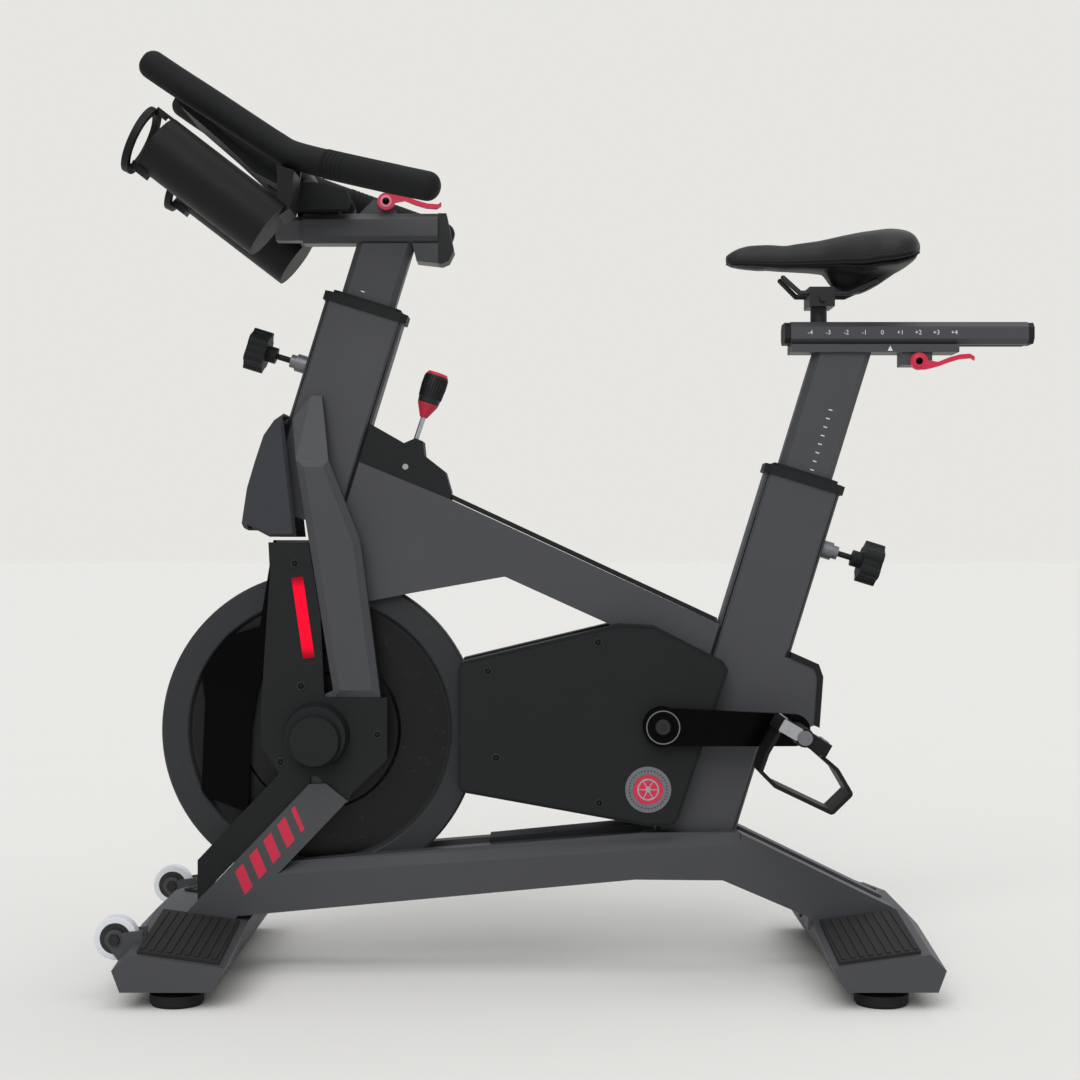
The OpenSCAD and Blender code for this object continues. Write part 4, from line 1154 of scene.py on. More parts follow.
class GeoTree:
    """A geometry node tree with named inputs, written node by node."""

    def __init__(self, name: str, inputs: dict[str, str]) -> None:
        """Starts a tree.

        Args:
            name: the tree's name.
            inputs: input names with their socket types.
        """
        self.tree = bpy.data.node_groups.new(name, "GeometryNodeTree")
        self.names: dict[str, str] = {}
        for label, kind in {"Geometry": "NodeSocketGeometry", **inputs}.items():
            made = self.tree.interface.new_socket(
                name=label, in_out="INPUT", socket_type=kind
            )
            self.names[label] = made.identifier
        self.tree.interface.new_socket(
            name="Geometry", in_out="OUTPUT", socket_type="NodeSocketGeometry"
        )
        self.start = self.tree.nodes.new("NodeGroupInput")

    def given(self, label: str) -> bpy.types.NodeSocket:
        """The tree's own input of that name.

        Args:
            label: the input's name.

        Returns:
            The socket.
        """
        return self.start.outputs[label]

    def node(
        self,
        kind: str,
        settings: dict[str, Any] | None = None,
        sockets: dict[Union[str, int], Any] | None = None,
    ) -> bpy.types.Node:
        """Adds a node: settings first, then values or links of its sockets.

        Args:
            kind: the node's type name.
            settings: properties of the node.
            sockets: values or links by input name.

        Returns:
            The node.
        """
        made = self.tree.nodes.new(kind)
        for key, value in (settings or {}).items():
            setattr(made, key, value)
        for key, value in (sockets or {}).items():
            if isinstance(value, bpy.types.NodeSocket):
                self.tree.links.new(value, made.inputs[key])
            else:
                made.inputs[key].default_value = value
        return made

    def end(self, geometry: bpy.types.NodeSocket) -> None:
        """Realizes the instances, sets the material and ends the tree.

        Args:
            geometry: what the tree gives out.
        """
        real = self.node("GeometryNodeRealizeInstances", None, {0: geometry})
        dressed = self.node(
            "GeometryNodeSetMaterial",
            None,
            {"Geometry": real.outputs[0], "Material": self.given("Material")},
        )
        self.node("NodeGroupOutput", None, {0: dressed.outputs[0]})

    def grow(
        self, name: str, seed_mesh: bpy.types.Mesh, coat: Coat, **values: Any
    ) -> bpy.types.Object:
        """Runs the tree on a mesh and keeps the result as a plain piece.

        Args:
            name: the piece's name.
            seed_mesh: the mesh that the tree starts from.
            coat: the finish.
            values: the tree's named inputs.

        Returns:
            The piece, with no modifier left.
        """
        seed = bpy.data.objects.new(name + "_seed", seed_mesh)
        bpy.context.scene.collection.objects.link(seed)
        modifier = seed.modifiers.new("grow", "NODES")
        modifier.node_group = self.tree
        modifier[self.names["Material"]] = coat.material
        for label, value in values.items():
            modifier[self.names[label]] = value
        bpy.context.view_layer.update()
        graph = bpy.context.evaluated_depsgraph_get()
        mesh = bpy.data.meshes.new_from_object(seed.evaluated_get(graph))
        bpy.data.objects.remove(seed)
        return Piece.from_mesh(name, mesh, coat, turn_out=False)


class Repeats:
    """The trees that repeat a small shape: along a line and at given places."""

    def __init__(self) -> None:
        """Writes the trees."""
        self.bars = self._bars()
        self.at_places = self._at_places()

    @staticmethod
    def _bars() -> GeoTree:
        """A row of bars: a box of a size, repeated with an offset.

        Returns:
            The tree.
        """
        tree = GeoTree(
            "row_of_bars",
            {
                "Count": "NodeSocketInt",
                "Start": "NodeSocketVector",
                "Offset": "NodeSocketVector",
                "Size": "NodeSocketVector",
                "Turn": "NodeSocketVector",
                "Material": "NodeSocketMaterial",
            },
        )
        line = tree.node(
            "GeometryNodeMeshLine",
            {"mode": "OFFSET"},
            {
                "Count": tree.given("Count"),
                "Start Location": tree.given("Start"),
                "Offset": tree.given("Offset"),
            },
        )
        bar = tree.node("GeometryNodeMeshCube", None, {"Size": tree.given("Size")})
        turned = tree.node(
            "FunctionNodeEulerToRotation", None, {0: tree.given("Turn")}
        )
        rows = tree.node(
            "GeometryNodeInstanceOnPoints",
            None,
            {
                "Points": line.outputs[0],
                "Instance": bar.outputs[0],
                "Rotation": turned.outputs[0],
            },
        )
        tree.end(rows.outputs[0])
        return tree

    @staticmethod
    def _at_places() -> GeoTree:
        """A unit shape at every vertex of the seed, turned by the vertex attribute "turn".

        Returns:
            The tree.
        """
        tree = GeoTree(
            "unit_at_places",
            {
                "Unit": "NodeSocketObject",
                "Scale": "NodeSocketFloat",
                "Material": "NodeSocketMaterial",
            },
        )
        unit = tree.node(
            "GeometryNodeObjectInfo",
            {"transform_space": "ORIGINAL"},
            {"Object": tree.given("Unit")},
        )
        turn = tree.node(
            "GeometryNodeInputNamedAttribute", {"data_type": "FLOAT_VECTOR"}, {"Name": "turn"}
        )
        turned = tree.node("FunctionNodeEulerToRotation", None, {0: turn.outputs[0]})
        put = tree.node(
            "GeometryNodeInstanceOnPoints",
            None,
            {
                "Points": tree.given("Geometry"),
                "Instance": unit.outputs["Geometry"],
                "Rotation": turned.outputs[0],
                "Scale": tree.given("Scale"),
            },
        )
        tree.end(put.outputs[0])
        return tree

    def place(
        self,
        name: str,
        unit: tuple[list[Point], list[list[int]]],
        places: Sequence[tuple[Point, Point]],
        coat: Coat,
        scale: float = 1.0,
    ) -> bpy.types.Object:
        """Puts a unit shape at places.

        Args:
            name: the piece's name.
            unit: points and faces of the shape.
            places: each a point and a turn in radians.
            coat: the finish.
            scale: size of every copy.

        Returns:
            One mesh piece.
        """
        shape = Piece.from_lists(name + "_unit", unit[0], unit[1], coat)
        seed = bpy.data.meshes.new(name + "_places")
        seed.from_pydata([tuple(p) for p, _ in places], [], [])
        turns = seed.attributes.new("turn", "FLOAT_VECTOR", "POINT")
        turns.data.foreach_set("vector", [v for _, t in places for v in t])
        made = self.at_places.grow(name, seed, coat, Unit=shape, Scale=scale)
        bpy.data.objects.remove(shape)
        return made

    def row(
        self, name: str, coat: Coat, count: int, start: Point, offset: Point, size: Point,
        turn: Point = (0.0, 0.0, 0.0),
    ) -> bpy.types.Object:
        """A row of bars as one mesh piece.

        Args:
            name: the piece's name.
            coat: the finish.
            count: how many bars.
            start: middle of the first bar.
            offset: step from bar to bar.
            size: size of a bar.
            turn: turn of each bar.

        Returns:
            The piece.
        """
        seed = bpy.data.meshes.new(name + "_seed")
        return self.bars.grow(
            name, seed, coat, Count=count, Start=start, Offset=offset, Size=size, Turn=turn
        )


# ---- The frame's own nodes ---------------------------------------------------------------------


@dataclass
class FrameDress:
    """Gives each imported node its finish."""

    coats: dict[str, Coat] = field(
        default_factory=lambda: {
            **dict.fromkeys(
                (
                    "front_stabiliser", "rear_stabiliser", "base_rail_left", "base_rail_right",
                    "main_beam", "head_tube", "seat_tube", "fork_left", "fork_right",
                    "seat_post", "bar_slider", "seat_slider",
                ),
                Coat.FRAME,
            ),
            **dict.fromkeys(
                (
                    "frame_trims", "lever_housing", "fork_cover_left",
                    "fork_cover_right", "guard_left", "guard_right", "head_collar",
                    "seat_collar", "slider_caps", "stem_cover",
                    "front_knob", "rear_knob",
                ),
                Coat.PLASTIC,
            ),
            **dict.fromkeys(("crank_left", "crank_right", "magnet_carrier"), Coat.GLOSS),
            **dict.fromkeys(
                (
                    "fasteners", "crank_shell", "crank_axle", "drive_pulley", "saddle_clamp",
                    "flywheel_hub",
                ),
                Coat.DARK_METAL,
            ),
            **dict.fromkeys(
                (
                    "pedal_left", "pedal_right", "toe_cage_left", "toe_cage_right",
                    "bottle_left", "bottle_right",
                ),
                Coat.FINE_PLASTIC,
            ),
            **dict.fromkeys(
                (
                    "drive_belt", "foot_front_left", "foot_front_right",
                    "foot_rear_left", "foot_rear_right",
                ),
                Coat.RUBBER,
            ),
            **dict.fromkeys(("flywheel_axle", "bearings", "lever_rod"), Coat.STEEL),
            "pin_bosses": Coat.SATIN,
            "front_fairing": Coat.FAIRING,
            "bar_post": Coat.STEM,
            "tread_pads": Coat.TREAD,
            "flywheel": Coat.WHEEL,
            "led_strips": Coat.LAMP,
            "wheel_left": Coat.TYRE,
            "wheel_right": Coat.TYRE,
            "seat_lever": Coat.RED,
            "bar_lever": Coat.RED,
            "lever_knob": Coat.KNOB,
            "handlebar": Coat.FOAM,
            "saddle": Coat.VINYL,
        }
    )

    def dress(self, nodes: dict[str, bpy.types.Object]) -> None:
        """Assigns every node's finish.

        Args:
            nodes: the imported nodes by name.
        """
        for name, node in nodes.items():
            coat = self.coats.get(name, Coat.PLASTIC)
            if not node.material_slots:
                node.data.materials.append(coat.material)
            for slot in node.material_slots:
                slot.material = coat.material
            LOG.info("node %s: %s", name, coat.name)


# ---- Saddle ------------------------------------------------------------------------------------


@dataclass
class Saddle:
    """Padded saddle: puffed cover with a relief channel, base shell, piping and stitches."""

    nose_x: float = 194.5
    shrink: float = 2.2
    channel: float = 4.5
    channel_half: float = 9.0
    voxel: float = 0.0042
    pressure: float = 4.0
    cap: float = 0.0028
    top: tuple[tuple[float, float], ...] = (
        (0, 958), (10, 966), (24, 970), (84, 972.5), (132, 977), (180, 986), (228, 991.5),
        (246, 990), (258, 982), (264, 968),
    )
    low: tuple[tuple[float, float], ...] = (
        (0, 950), (10, 942), (80, 937), (120, 936), (150, 934), (180, 930), (225, 934),
        (246, 941), (258, 950), (264, 958),
    )
    keel: tuple[tuple[float, float], ...] = (
        (0, 952), (138, 936), (144, 918), (152, 911), (170, 905), (182, 904), (193, 908),
        (208, 916), (224, 927), (244, 941), (264, 955),
    )
    half: tuple[tuple[float, float], ...] = (
        (0, 6), (3, 12), (9, 18), (24, 22), (84, 27), (130, 40), (170, 64), (205, 80),
        (230, 83), (248, 76), (258, 60), (264, 30),
    )

    @staticmethod
    def _read(table: Sequence[tuple[float, float]], at: float) -> float:
        """A value of one of the tables, smoothed over a few millimetres.

        Args:
            table: pairs of place and value in millimetres.
            at: the place along the saddle in millimetres.

        Returns:
            The value in millimetres.
        """
        places, values = zip(*table)
        near = [float(np.interp(at + d, places, values)) for d in (-6, -3, 0, 3, 6)]
        return sum(near) / len(near)

    def _ring(self, at: float, inset: float, sides: int) -> list[Point]:
        """One cross-section of the cover.

        Args:
            at: distance from the nose.
            inset: how far inside the full size.
            sides: corners of the ring.

        Returns:
            The ring.
        """
        top, low = self._read(self.top, at) - inset, self._read(self.low, at) + inset * 0.4
        half = max(2.0, self._read(self.half, at) - inset)
        middle, high = low + (top - low) * 0.42, (top - low)
        ring: list[Point] = []
        for k in range(sides):
            turn = math.tau * k / sides
            c, s = math.cos(turn), math.sin(turn)
            y = half * math.copysign(abs(c) ** 0.82, c)
            z = middle + (high * 0.58 * abs(s) ** 0.85 if s > 0 else -high * 0.42 * abs(s) ** 0.55)
            ring.append(mm(self.nose_x + at, y, z))
        return ring

    def _cover(self) -> bpy.types.Object:
        """The cover before it is puffed.

        Returns:
            The cover.
        """
        rings = [self._ring(at, self.shrink, 48) for at in np.linspace(2.5, 261.5, 64)]
        points, faces = Sweep.loft(rings)
        return Piece.from_lists("saddle_pad", points, faces, Coat.VINYL)

    def _puff(self, pad: bpy.types.Object) -> None:
        """Swells the cover with cloth under pressure and keeps the swelling within a cap.

        Args:
            pad: the cover, changed in place.
        """
        scene = bpy.context.scene
        remesh = pad.modifiers.new("even", "REMESH")
        remesh.mode, remesh.voxel_size = "VOXEL", self.voxel
        graph = bpy.context.evaluated_depsgraph_get()
        mesh = bpy.data.meshes.new_from_object(pad.evaluated_get(graph))
        pad.modifiers.clear()
        pad.data = mesh
        before = self._places(mesh)
        cloth = pad.modifiers.new("puff", "CLOTH")
        cloth.settings.quality = 6
        cloth.settings.mass = 0.25
        cloth.settings.tension_stiffness = cloth.settings.compression_stiffness = 12
        cloth.settings.bending_stiffness = 1.5
        cloth.settings.use_pressure = True
        cloth.settings.uniform_pressure_force = self.pressure
        cloth.settings.effector_weights.gravity = 0
        cloth.point_cache.frame_start, cloth.point_cache.frame_end = 1, 20
        for frame in range(1, 21):
            scene.frame_set(frame)
        graph = bpy.context.evaluated_depsgraph_get()
        after = self._places(pad.evaluated_get(graph).data)
        pad.modifiers.clear()
        scene.frame_set(1)
        move = after - before
        reach = np.linalg.norm(move, axis=1, keepdims=True)
        move *= np.minimum(1.0, self.cap / np.maximum(reach, 1e-9))
        move[:, 2] = np.where(before[:, 2] < 0.94, move[:, 2] * 0.3, move[:, 2])
        self._store(mesh, before + move)

    @staticmethod
    def _places(mesh: bpy.types.Mesh) -> np.ndarray:
        """Vertex places of a mesh.

        Args:
            mesh: the mesh.

        Returns:
            One row for each vertex.
        """
        flat = np.zeros(len(mesh.vertices) * 3)
        mesh.vertices.foreach_get("co", flat)
        return flat.reshape(-1, 3)

    @staticmethod
    def _store(mesh: bpy.types.Mesh, places: np.ndarray) -> None:
        """Writes vertex places back.

        Args:
            mesh: the mesh.
            places: one row of coordinates for each vertex.
        """
        mesh.vertices.foreach_set("co", places.ravel())
        mesh.update()

    def _shape(self, pad: bpy.types.Object) -> None:
        """Presses the relief channel and the two panel seams into the top of the cover.

        Args:
            pad: the cover.
        """
        places = self._places(pad.data) / MM
        at = places[:, 0] - self.nose_x
        half = np.array([self._read(self.half, a) for a in at])
        up = np.clip((places[:, 2] - 952) / 14, 0, 1)
        run = np.clip((at - 62) / 26, 0, 1) * np.clip((250 - at) / 22, 0, 1)
        side = np.abs(places[:, 1])
        dip = self.channel * np.exp(-((side / self.channel_half) ** 2)) * run
        seam = 1.1 * np.exp(-(((side - half * 0.66) / 1.5) ** 2)) * np.clip((at - 20) / 20, 0, 1)
        places[:, 2] -= (dip + seam) * up
        self._store(pad.data, places * MM)

    def _seam_path(self, share: float, lift: float) -> np.ndarray:
        """A closed path round the cover at a share of its height.

        Args:
            share: turn of the ring in degrees below the widest line.
            lift: how far outside the skin.

        Returns:
            Samples of the path.
        """
        left: list[Point] = []
        for at in np.linspace(7, 253.5, 70):
            top, low = self._read(self.top, at), self._read(self.low, at)
            half = self._read(self.half, at) - self.shrink + lift
            left.append(mm(self.nose_x + at, -half, low + (top - low) * share))
        right = [(x, -y, z) for x, y, z in reversed(left)]
        return np.array(left + right + left[:1])

    def build(self, repeats: Repeats) -> list[bpy.types.Object]:
        """Builds the saddle's pieces.

        Args:
            repeats: the trees for the stitches.

        Returns:
            The pieces, the cover first.
        """
        pad = self._cover()
        self._puff(pad)
        pad.data.materials.clear()
        pad.data.materials.append(Coat.VINYL.material)
        self._shape(pad)
        smooth = pad.modifiers.new("settle", "SMOOTH")
        smooth.factor, smooth.iterations = 0.5, 2
        finer = pad.modifiers.new("finer", "SUBSURF")
        finer.levels = finer.render_levels = 1
        graph = bpy.context.evaluated_depsgraph_get()
        mesh = bpy.data.meshes.new_from_object(pad.evaluated_get(graph))
        pad.modifiers.clear()
        pad.data = mesh
        mesh.polygons.foreach_set("use_smooth", [True] * len(mesh.polygons))
        base = self._base()
        piping = self._piping()
        stitches = self._stitches(repeats)
        return [pad, base, piping, stitches]

    def _base(self) -> bpy.types.Object:
        """Hard shell under the cover, with a keel down to the rails.

        Returns:
            The shell.
        """
        rings: list[list[Point]] = []
        for at in np.linspace(10, 250, 72):
            low = self._read(self.low, at)
            half = max(3.0, self._read(self.half, at) - 5.0)
            keel = max(0.0, low - 0.5 - self._read(self.keel, at))
            ring: list[Point] = []
            for k in range(48):
                c, s = math.cos(math.tau * k / 48), math.sin(math.tau * k / 48)
                side = abs(c) ** 0.8 * half
                drop = 5.0 * abs(s) ** 0.6 + keel / (1 + (side / 21) ** 6)
                z = low + 5 + (3.5 * s if s > 0 else -drop)
                ring.append(mm(self.nose_x + at, half * math.copysign(abs(c) ** 0.8, c), z))
            rings.append(ring)
        points, faces = Sweep.loft(rings)
        return Piece.from_lists("saddle_base", points, faces, Coat.FINE_PLASTIC)

    def _piping(self) -> bpy.types.Object:
        """Round piping where the cover meets the shell.

        Returns:
            The piping.
        """
        path = self._seam_path(0.16, -0.6)
        points, faces = Sweep.tube(path, lambda _t: 0.0013, 10)
        return Piece.from_lists("saddle_piping", points, faces, Coat.RUBBER)

    def _stitches(self, repeats: Repeats) -> bpy.types.Object:
        """Stitches above the piping.

        Args:
            repeats: the trees that repeat a shape.

        Returns:
            The stitches.
        """
        path = self._seam_path(0.27, 0.55)
        run = np.concatenate([[0], np.cumsum(np.linalg.norm(np.diff(path, axis=0), axis=1))])
        places: list[tuple[Point, Point]] = []
        for far in np.arange(0.004, run[-1] - 0.004, 0.0046):
            here = [float(np.interp(far, run, path[:, k])) for k in range(3)]
            soon = [float(np.interp(far + 0.001, run, path[:, k])) for k in range(3)]
            way = Vector(soon) - Vector(here)
            turn = way.to_track_quat("X", "Z").to_euler()
            places.append((tuple(here), tuple(turn)))
        capsule = Sweep.tube(
            np.array([[-1.5, 0, 0], [-1.1, 0, 0.1], [0, 0, 0.25], [1.1, 0, 0.1], [1.5, 0, 0]])
            * MM,
            lambda t: (0.32 if 0.1 < t < 0.9 else 0.12) * MM,
            6,
        )
        return repeats.place("saddle_stitches", capsule, places, Coat.THREAD)

    def ride(self, parts: list[bpy.types.Object]) -> None:
        """Args:
            parts: what build returned.
        """
        for part in parts:
            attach(part, "seat_slider_body")
        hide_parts("saddle")


# ---- Grips -------------------------------------------------------------------------------------


@dataclass
class Grips:
    """Two foam grips, each one bent length with rounded ends and thin rings in the hand zone."""

    path: tuple[Point, ...] = (
        (-551, -112, 1187), (-520, -112.6, 1166), (-470, -114.4, 1133.5), (-420, -117, 1100.5),
        (-390, -119, 1081), (-374, -120.6, 1071.5), (-352, -127, 1063.5), (-320, -139, 1053.5),
        (-270, -160.5, 1038.5), (-225, -181, 1025.2), (-193, -196, 1016),
    )
    radius: float = 18.6

    def _radius(self, share: float) -> float:
        """Radius along the grip, closed at both ends.

        Args:
            share: share of the length.

        Returns:
            The radius in metres.
        """
        end = min(share, 1 - share) * 425
        close = math.sqrt(max(0.0, 1 - (1 - min(1.0, end / 17)) ** 2.4))
        swell = 0.35 * math.sin(share * math.pi * 3)
        return max(0.4, (self.radius + swell) * close) * MM

    def _one(self, name: str, side: float) -> bpy.types.Object:
        """One grip.

        Args:
            name: the piece's name.
            side: -1 for the left, 1 for the right.

        Returns:
            The grip.
        """
        known = [mm(x, -y * side, z) for x, y, z in self.path]
        start, end = np.array(known[0]), np.array(known[-1])
        ahead, behind = start - np.array(known[1]), end - np.array(known[-2])
        first = start + ahead / np.linalg.norm(ahead) * 0.0175
        last = end + behind / np.linalg.norm(behind) * 0.0175
        path = Sweep.curve([tuple(first), *known, tuple(last)], 150)
        points, faces = Sweep.tube(path, self._radius, 40)
        return Piece.from_lists(name, points, faces, Coat.FOAM)

    def _ridges(self, repeats: Repeats, side: float, name: str) -> bpy.types.Object:
        """Thin raised rings of the hand zone.

        Args:
            repeats: the trees that repeat a shape.
            side: -1 for the left, 1 for the right.
            name: the piece's name.

        Returns:
            The rings.
        """
        known = [mm(x, -y * side, z) for x, y, z in self.path]
        path = Sweep.curve(known, 200)
        ring = 36
        places: list[tuple[Point, Point]] = []
        for k in range(ring):
            i = 128 + int(k * 1.45)
            way = Vector(path[i + 1]) - Vector(path[i])
            places.append((tuple(path[i]), tuple(way.to_track_quat("Z", "Y").to_euler())))
        band: list[Point] = []
        faces: list[list[int]] = []
        sides = 36
        for k in range(sides):
            c, s = math.cos(math.tau * k / sides), math.sin(math.tau * k / sides)
            for r, z in ((18.3, -0.7), (19.15, -0.3), (19.15, 0.3), (18.3, 0.7)):
                band.append(mm(r * c, r * s, z))
        for k in range(sides):
            n = (k + 1) % sides
            for a, b in ((0, 1), (1, 2), (2, 3), (3, 0)):
                faces.append([k * 4 + a, n * 4 + a, n * 4 + b, k * 4 + b])
        return repeats.place(name, (band, faces), places, Coat.FOAM)

    def build(self, repeats: Repeats) -> list[bpy.types.Object]:
        """Builds the grips and their rings.

        Args:
            repeats: the trees for the rings.

        Returns:
            Left grip, right grip, left rings, right rings.
        """
        return [
            self._one("grip_left", -1.0),
            self._one("grip_right", 1.0),
            self._ridges(repeats, -1.0, "grip_rings_left"),
            self._ridges(repeats, 1.0, "grip_rings_right"),
        ]

    def ride(self, parts: list[bpy.types.Object]) -> None:
        """Puts the grips on the sliding bar.

        Args:
            parts: what build returned.
        """
        for part in parts:
            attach(part, "bar_slider_body")
        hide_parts("handlebar")
        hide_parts("handlebar")


# ---- Ribbed treads -----------------------------------------------------------------------------


@dataclass
class Treads:
    """Moulded ribs along each tread pad, laid on the pad's own sloping face."""

    ribs: int = 9
    margin: float = 0.006
    height: float = 0.0016

    def _faces(self, node: bpy.types.Object) -> list[dict[str, Vector]]:
        """The top corners of the four pads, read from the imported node.

        Args:
            node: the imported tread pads.

        Returns:
            For each pad the corners by name.
        """
        places = [v.co.copy() for v in node.data.vertices]
        pads: list[dict[str, Vector]] = []
        for sx in (-1, 1):
            for sy in (-1, 1):
                mine = [p for p in places if p.x * sx > 0 and p.y * sy > 0]
                far = max(abs(p.y) for p in mine)
                near = min(abs(p.y) for p in mine)
                corners: dict[str, Vector] = {}
                for row, y in (("in", near), ("out", far)):
                    edge = [p for p in mine if abs(abs(p.y) - y) < 0.002]
                    for col, pick in (("a", min), ("b", max)):
                        x = pick(p.x for p in edge)
                        corners[row + col] = max(
                            (p for p in edge if abs(p.x - x) < 0.002), key=lambda p: p.z
                        )
                pads.append(corners)
        return pads

    def build(self, node: bpy.types.Object, repeats: Repeats) -> list[bpy.types.Object]:
        """Builds the ribs.

        Args:
            node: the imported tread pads.
            repeats: the trees for rows of bars.

        Returns:
            One piece for each pad.
        """
        made: list[bpy.types.Object] = []
        for number, c in enumerate(self._faces(node)):
            inner = (c["ina"] + c["inb"]) / 2
            outer = (c["outa"] + c["outb"]) / 2
            along = outer - inner
            across = c["outb"] - c["outa"]
            length = along.length - 2 * self.margin
            step = across * ((across.length - 2 * self.margin) / across.length / (self.ribs - 1))
            middle = (inner + outer) / 2
            start = middle - step * (self.ribs - 1) / 2
            up = across.cross(along)
            up = up if up.z > 0 else -up
            axes = Matrix((across.normalized(), up.normalized().cross(across.normalized()),
                           up.normalized())).transposed()
            lift = up.normalized() * (self.height * 0.35)
            made.append(
                repeats.row(
                    f"tread_ribs_{number + 1}", Coat.TREAD, self.ribs, tuple(start + lift),
                    tuple(step), (0.0052, length, self.height), tuple(axes.to_euler()),
                )
            )
        for part in made:
            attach(part, "root")
        return made


# ---- Prints, screws and small trim -------------------------------------------------------------


@dataclass
class Scales:
    """Printed scales: marks on both posts, numbers and a pointer on the seat slider."""

    lean: float = math.radians(17.2)
    ink: float = 0.00012

    def _marks(
        self, repeats: Repeats, name: str, body: str, foot: Point, count: int, side: float
    ) -> None:
        """A row of short lines up a leaning post.

        Args:
            repeats: the trees for rows of bars.
            name: the piece's name.
            body: the body that carries it.
            foot: place of the lowest mark, in millimetres.
            count: how many marks.
            side: -1 for the left face, 1 for the right.
        """
        step = (0.012 * math.sin(self.lean), 0.0, 0.012 * math.cos(self.lean))
        row = repeats.row(
            name, Coat.WHITE_INK, count, (foot[0] * MM, side * foot[1] * MM, foot[2] * MM), step,
            (0.0052, self.ink * 2, 0.0014), (0.0, self.lean, 0.0),
        )
        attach(row, body)

    @staticmethod
    def _number(text: str, centre: Point, size: float, body: str, name: str) -> None:
        """One printed number on the left face of the slider.

        Args:
            text: the number.
            centre: its middle in metres.
            size: its height in metres.
            body: the body that carries it.
            name: the piece's name.
        """
        curve = bpy.data.curves.new(name + "_curve", "FONT")
        curve.body, curve.size = text, size
        curve.align_x, curve.align_y = "CENTER", "CENTER"
        curve.extrude = 0.00008
        curve.resolution_u = 3
        holder = bpy.data.objects.new(name + "_holder", curve)
        bpy.context.scene.collection.objects.link(holder)
        bpy.context.view_layer.update()
        graph = bpy.context.evaluated_depsgraph_get()
        mesh = bpy.data.meshes.new_from_object(holder.evaluated_get(graph))
        bpy.data.objects.remove(holder)
        mesh.transform(Matrix.Translation(Vector(centre)) @ Matrix.Rotation(math.pi / 2, 4, "X"))
        made = Piece.from_mesh(name, mesh, Coat.WHITE_INK, smooth=False, turn_out=False)
        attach(made, body)

    def build(self, repeats: Repeats) -> None:
        """Builds the scales.

        Args:
            repeats: the trees for rows of bars.
        """
        for side, word in ((-1.0, "left"), (1.0, "right")):
            self._marks(repeats, f"seat_marks_{word}", "seat_post_body", (313, 19, 668), 8, side)
            self._marks(repeats, f"bar_marks_{word}", "bar_post_body", (-296, 19, 884), 3, side)
        for number in range(-4, 5):
            x = (310 + (number + 4) * 24.1) * MM
            text = f"+{number}" if number > 0 else str(number)
            self._number(
                text, (x, -0.02412, 0.8515), 0.0085, "seat_slider_body",
                f"slider_number_{number + 5}",
            )
        outline = [(m[0] * MM, m[1] * MM) for m in ((412.5, 826.5), (419.5, 826.5), (416, 833.5))]
        points, faces = Sweep.prism(outline, -0.0293, -0.0289)
        pointer = Piece.from_lists("slider_pointer", points, faces, Coat.WHITE_INK)
        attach(pointer, "seat_post_body")


@dataclass
class Screws:
    """Hexagon sockets and washers of the guard and cover screws."""

    guard: tuple[tuple[float, float], ...] = (
        (-120, 401), (25, 439), (-109.5, 287), (26.5, 227.5),
    )
    cover: tuple[tuple[float, float], ...] = (
        (-375.5, 543), (-367.5, 381), (-394.5, 281), (-266.5, 317),
    )
    guard_y: float = 62.0
    cover_y: float = 55.0

    @staticmethod
    def washer(inner: float, outer: float, thick: float, sides: int = 24) -> tuple[
        list[Point], list[list[int]]
    ]:
        """A flat ring with a rounded rim, its axis along Y and its back at zero.

        Args:
            inner: inner radius in millimetres.
            outer: outer radius in millimetres.
            thick: thickness in millimetres.
            sides: how many sides it has.

        Returns:
            Points and faces.
        """
        section = [(inner, 0.0), (outer, 0.0), (outer, thick * 0.6), (outer - thick * 0.4, thick),
                   (inner, thick)]
        points = [
            mm(r * math.cos(math.tau * k / sides), -y, r * math.sin(math.tau * k / sides))
            for k in range(sides)
            for r, y in section
        ]
        return points, Sweep.turned_faces(len(section), sides)

    def build(self, repeats: Repeats) -> list[bpy.types.Object]:
        """Builds the washers and the sockets.

        Args:
            repeats: the tree that puts a shape at places.

        Returns:
            The two pieces.
        """
        spots: list[tuple[Point, Point]] = []
        for side, turn in ((-1, 0.0), (1, math.pi)):
            spots += [(mm(x, side * self.guard_y, z), (0.0, 0.0, turn)) for x, z in self.guard]
            spots += [
                (mm(x, side * (self.cover_y), z), (0.0, 0.0, turn)) for x, z in self.cover
            ]
        rings = repeats.place("screw_washers", self.washer(4.1, 6.2, 0.9), spots, Coat.DARK_METAL)
        deeper = [
            ((p[0], p[1] + math.copysign(0.0016, p[1]), p[2]), t) for p, t in spots
        ]
        sockets = repeats.place(
            "screw_sockets", self.washer(1.5, 2.9, 0.35, 6), deeper, Coat.GLOSS
        )
        for part in (rings, sockets):
            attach(part, "root")
        return [rings, sockets]


